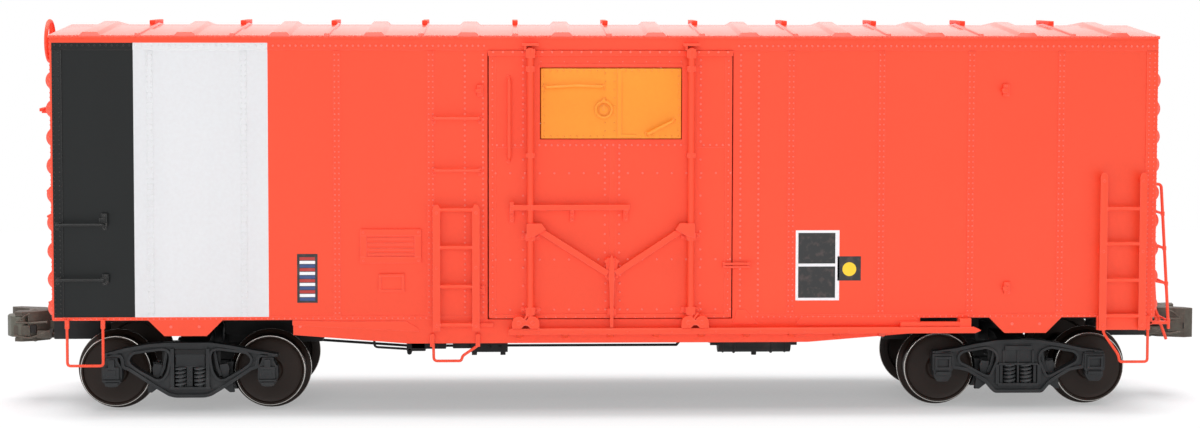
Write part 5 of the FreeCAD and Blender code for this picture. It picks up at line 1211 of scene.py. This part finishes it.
axles = [(letter, side * TRUCK_AT + shift)
         for letter, side in (("b", -1), ("a", 1)) for shift in (-AXLE_AT, AXLE_AT)]
for number, (letter, x) in enumerate(axles, start=1):
    wheels = bmesh.new()
    spun(wheels, WHEEL_SECTION, 0.0, 0.0)
    made = piece(f"wheel_pair_{number}", wheels, WHEEL_METAL, f"axle_{number}",
                 (f"wheelset_{number}",), 24.0)
    made.location = Vector((x, 0, FLANGE_RADIUS)) * MM

# ---------------------------------------------------------------- truck screws
# Blackened steel screws with low heads, driven up through the bolsters into the body. The
# trucks turn on them.
SCREW_STEEL = moulded("screw_steel", (0.10, 0.10, 0.105), 0.32, 0.8)
for letter in ("a", "b"):
    eased(f"truck_screw_{letter}", f"kingpin_{letter}", SCREW_STEEL, 0.12)

# ---------------------------------------------------------------- couplers
# Cast metal knuckle couplers, browned and rough from the mould. The knuckle turns on a pin
# between two lugs of the head, and the shank swings in the draft gear box.
COUPLER_BROWN = (0.072, 0.046, 0.036)
COUPLER_GREY = (0.185, 0.182, 0.145)


def rough_cast(name, colour, other):
    """Browned cast metal with a grainy skin and paler corners where handling rubs them, with a painted
    highlight on them.
    """
    material, tree, shader = new_material(name)
    grain = noise_at(tree, 0.45, 4.0)
    cloud = spread(tree, noise_at(tree, 1.5, 4.0), 0.0, 1.0)
    tone = blend_colour(tree, cloud, scaled_colour(colour, 0.8), other)
    tone = blend_colour(tree, maths(tree, "MULTIPLY", grain, 0.35), tone, scaled_colour(colour, 0.4))
    # Paler corners: handling rubs them, and a painted highlight lies over them.
    tone = blend_colour(tree, worn_and_highlit_edges(tree, 0.15, 0.7), tone, (0.34, 0.27, 0.22))
    rough = spread(tree, grain, 0.38, 0.66)
    bump = tree.nodes.new("ShaderNodeBump")
    bump.inputs["Strength"].default_value = 0.6
    bump.inputs["Distance"].default_value = 0.12 * MM
    link(tree, tone, shader.inputs["Base Color"], rough, shader.inputs["Roughness"],
         grain, bump.inputs["Height"], bump.outputs[0], shader.inputs["Normal"])
    shader.inputs["Metallic"].default_value = 0.35
    return material


CAST = rough_cast("cast_metal", COUPLER_BROWN, scaled_colour(COUPLER_GREY, 0.75))
KNUCKLE_CAST = rough_cast("knuckle_metal", scaled_colour(COUPLER_GREY, 0.6), COUPLER_GREY)
# Dark slabs set in the recesses of each coupler head are painted shadow.
SHADOW = moulded("painted_shadow_hollow", (0.012, 0.010, 0.009))
head_low, head_high = corners("coupler_a")
details, shadow_hollows = bmesh.new(), bmesh.new()
for z0, z1 in ((head_high.z - 0.5, head_high.z), (head_low.z, head_low.z + 0.5)):
    wire(details, [(78.9, 1.3, z0), (78.9, 1.3, z1)], 0.72, sides=14)
    wire(details, [(76.9, -1.5, z0 - 0.1 * (z0 > 10)), (76.9, -1.5, z1 - 0.2 * (z0 > 10))], 0.5, sides=12)
for side in (-1, 1):
    outer = side * (head_high.y - 0.12)
    wire(details, [(76.9, outer, 11.1), (79.2, outer, 11.0), (81.2, outer, 11.05)], 0.14, 0.3)
    wire(details, [(81.2, outer, 11.05), (80.1, outer, 11.9), (79.4, outer - side * 0.3, 12.2)], 0.13, 0.2)
    slab(details, (79.3, 81.6), (outer, outer - side * 0.5), (9.15, 10.65), 0.22)
    wire(details, [(81.3, outer, 9.2), (79.4, outer, 8.85), (77.2, outer - side * 0.2, 9.6)], 0.16, 0.5)
    slab(details, (76.6, 78.4), (outer - side * 0.1, outer - side * 0.6), (8.8, 9.9), 0.15)
    # Slabs of painted shadow in the recesses of the head.
    slab(shadow_hollows, (78.45, 79.25), (outer + side * 0.03, outer - side * 0.4), (9.6, 10.7), 0.08)
slab(shadow_hollows, (81.35, 81.7), (head_low.y + 0.02, head_low.y + 0.4), (9.6, 10.5), 0.05)
for letter, twin in (("a", (details, shadow_hollows)), ("b", (turned(details), turned(shadow_hollows)))):
    eased(f"coupler_{letter}_head", f"coupler_{letter}", CAST, 0.16,
          f"coupler_body_{letter}")
    eased(f"knuckle_{letter}_jaw", f"knuckle_{letter}", KNUCKLE_CAST, 0.22,
          f"knuckle_body_{letter}")
    piece(f"coupler_{letter}_ribs", twin[0], CAST, f"coupler_body_{letter}")
    piece(f"coupler_{letter}_hollows", twin[1], SHADOW, f"coupler_body_{letter}")

# ---------------------------------------------------------------- printed panels
# Thin printed panels on each side, left blank: a strip of coloured bars near the left end, a
# pair of black panels in a white frame, and a black square with a yellow dot.
WHITE_INK = (0.84, 0.84, 0.855)
BLACK_INK = (0.020, 0.021, 0.022)
YELLOW_INK = (0.94, 0.62, 0.02)
PANEL_FRONT = FACE - 0.02
PRINT_LIFT = 0.012                # one colour printed over another
BAR_PITCH = 0.49


def ink(name, colour):
    """Printed ink with thin patches, a little glossier than the paint round it."""
    material, tree, shader = new_material(name)
    above = maths(tree, "SUBTRACT", noise_at(tree, 0.8, 5.0), 0.52)
    thin = maths(tree, "MULTIPLY", maths(tree, "MAXIMUM", above, 0.0), 0.5)
    cloud = spread(tree, noise_at(tree, 6.0, 4.0), 0.0, 1.0)
    tone = blend_colour(tree, cloud, scaled_colour(colour, 0.93), scaled_colour(colour, 1.04))
    tone = blend_colour(tree, thin, tone, (0.5, 0.3, 0.26))
    rough = spread(tree, noise_at(tree, 2.0), 0.34, 0.46)
    link(tree, tone, shader.inputs["Base Color"], rough, shader.inputs["Roughness"])
    return material


def panel(bm, left, right, low, high, lift):
    """One printed rectangle, a hair proud of the side."""
    slab(bm, (left, right), (PANEL_FRONT - lift, FACE + 0.05), (low, high), 0.0)


inks = {name: ink(name, colour) for name, colour in (("white_ink", WHITE_INK), ("black_ink", BLACK_INK),
        ("yellow_ink", YELLOW_INK), ("blue_ink", (0.03, 0.07, 0.22)), ("red_ink", (0.45, 0.03, 0.025)))}
prints = {name: bmesh.new() for name in inks}
panel(prints["white_ink"], 25.0, 30.85, 15.7, 25.1, 0.0)
panel(prints["black_ink"], 25.35, 30.3, 20.65, 24.75, PRINT_LIFT)
panel(prints["black_ink"], 25.35, 30.3, 16.05, 20.25, PRINT_LIFT)
panel(prints["black_ink"], 30.6, 33.75, 18.35, 21.6, 0.0)
plate(prints["yellow_ink"], circle((32.2, 19.88), 0.93, 30, 12), PANEL_FRONT - PRINT_LIFT, FACE, 0.0)
panel(prints["black_ink"], -41.25, -38.55, 15.6, 22.1, 0.0)
bars = ("blue_ink", "white_ink", "red_ink") * 4
for index, colour in enumerate(bars):
    low = 15.85 + index * BAR_PITCH
    panel(prints[colour], -40.92, -38.88, low + 0.03, low + 0.44, PRINT_LIFT)
for name, mesh in prints.items():
    both_sides(f"printed_{name}", mesh, inks[name])

# ---------------------------------------------------------------- studio
# A wide pale floor under an even white sky, a soft lamp overhead and one in front, and the
# camera a little left of the car's middle and just above its roof.
CAMERA_PLACE = (-12.87, -325.7, 58.3)
CAMERA_TURN = (math.pi / 2 - 0.05544, -0.00187, -0.03779)
LENS = 70.057
FRAME_SHIFT = -0.0865


def lamp(name, place, target, size, watts):
    """A soft rectangular lamp that looks at a point."""
    light = bpy.data.lights.new(name, "AREA")
    light.shape = "RECTANGLE"
    light.size, light.size_y = (side * MM for side in size)
    light.energy = watts
    holder = bpy.data.objects.new(name, light)
    bpy.context.scene.collection.objects.link(holder)
    holder.location = Vector(place) * MM
    holder.rotation_euler = (Vector(target) - Vector(place)).to_track_quat("-Z", "Y").to_euler()


def seen_directly(tree):
    """1 for camera, glossy and transmission rays, and 0 for the light that falls on the car."""
    path = tree.nodes.new("ShaderNodeLightPath")
    mirrored = maths(tree, "ADD", path.outputs["Is Camera Ray"], path.outputs["Is Glossy Ray"])
    return maths(tree, "MINIMUM", maths(tree, "ADD", mirrored, path.outputs["Is Transmission Ray"]), 1.0)


def backdrop_material():
    """Matt white card, with a glow that only the camera and reflections see and that fades under and near
    the car, so the floor is darker there: painted shade round the car on top of its real shadow.
    """
    material, tree, shader = new_material("backdrop")
    shader.inputs["Roughness"].default_value = 0.9
    shader.inputs["Specular IOR Level"].default_value = 0.1
    place = tree.nodes.new("ShaderNodeTexCoord")
    axes = tree.nodes.new("ShaderNodeSeparateXYZ")
    glow = tree.nodes.new("ShaderNodeEmission")
    both = tree.nodes.new("ShaderNodeMixShader")
    fleck = spread(tree, noise_at(tree, 0.5, 2.0), 0.0, 1.0)
    card = blend_colour(tree, fleck, (0.84, 0.87, 0.885), (0.98, 0.99, 1.0))
    link(tree, place.outputs["Object"], axes.inputs[0], card, shader.inputs["Base Color"])
    # Weaker glow near the car paints shade round it, over its real shadow; far away the glow is full.
    beyond = maths(tree, "SUBTRACT", maths(tree, "ABSOLUTE", axes.outputs["X"]), 0.075)
    away = maths(tree, "MAXIMUM", maths(tree, "ABSOLUTE", axes.outputs["Y"]), beyond)
    rising = maths(tree, "MULTIPLY_ADD", away, 38.0, 0.0)
    near = maths(tree, "MINIMUM", maths(tree, "MAXIMUM", rising, 0.35), 0.95)
    far = maths(tree, "MINIMUM", maths(tree, "MULTIPLY_ADD", axes.outputs["Y"], 3.0, 0.35), 1.0)
    back = maths(tree, "MAXIMUM", near, far)
    link(tree, maths(tree, "MULTIPLY", back, seen_directly(tree)), both.inputs[0], shader.outputs[0],
         both.inputs[1], glow.outputs[0], both.inputs[2], both.outputs[0],
         tree.nodes["Material Output"].inputs[0])
    return material


floor_mesh = bmesh.new()
bmesh.ops.create_grid(floor_mesh, x_segments=2, y_segments=2, size=9.0)
floor_data = bpy.data.meshes.new("studio_floor")
floor_mesh.to_mesh(floor_data)
floor_mesh.free()
floor_data.materials.append(backdrop_material())
studio_floor = bpy.data.objects.new("studio_floor", floor_data)
bpy.context.scene.collection.objects.link(studio_floor)

world = bpy.data.worlds.new("studio")
world.use_nodes = True
sky = world.node_tree
white = sky.nodes["Background"]
soft = sky.nodes.new("ShaderNodeBackground")
either = sky.nodes.new("ShaderNodeMixShader")
white.inputs["Color"].default_value = (1, 1, 1, 1)
soft.inputs["Color"].default_value = (0.96, 0.98, 1.0, 1)
soft.inputs["Strength"].default_value = 0.58
link(sky, seen_directly(sky), either.inputs[0], soft.outputs[0], either.inputs[1], white.outputs[0],
     either.inputs[2], either.outputs[0], sky.nodes["World Output"].inputs[0])
bpy.context.scene.world = world
lamp("overhead_lamp", (0, 40, 520), (0, 0, 20), (620, 420), 4.1)
lamp("front_lamp", (-60, -520, 230), (0, 0, 25), (520, 260), 0.50)

lens = bpy.data.cameras.new("camera")
lens.lens = LENS
lens.sensor_width = 36.0
lens.shift_y = FRAME_SHIFT
lens.clip_start = 0.01
lens.clip_end = 50.0
camera = bpy.data.objects.new("camera", lens)
camera.location = Vector(CAMERA_PLACE) * MM
camera.rotation_euler = CAMERA_TURN
bpy.context.scene.collection.objects.link(camera)
bpy.context.scene.camera = camera
bpy.context.scene.view_settings.view_transform = "Standard"
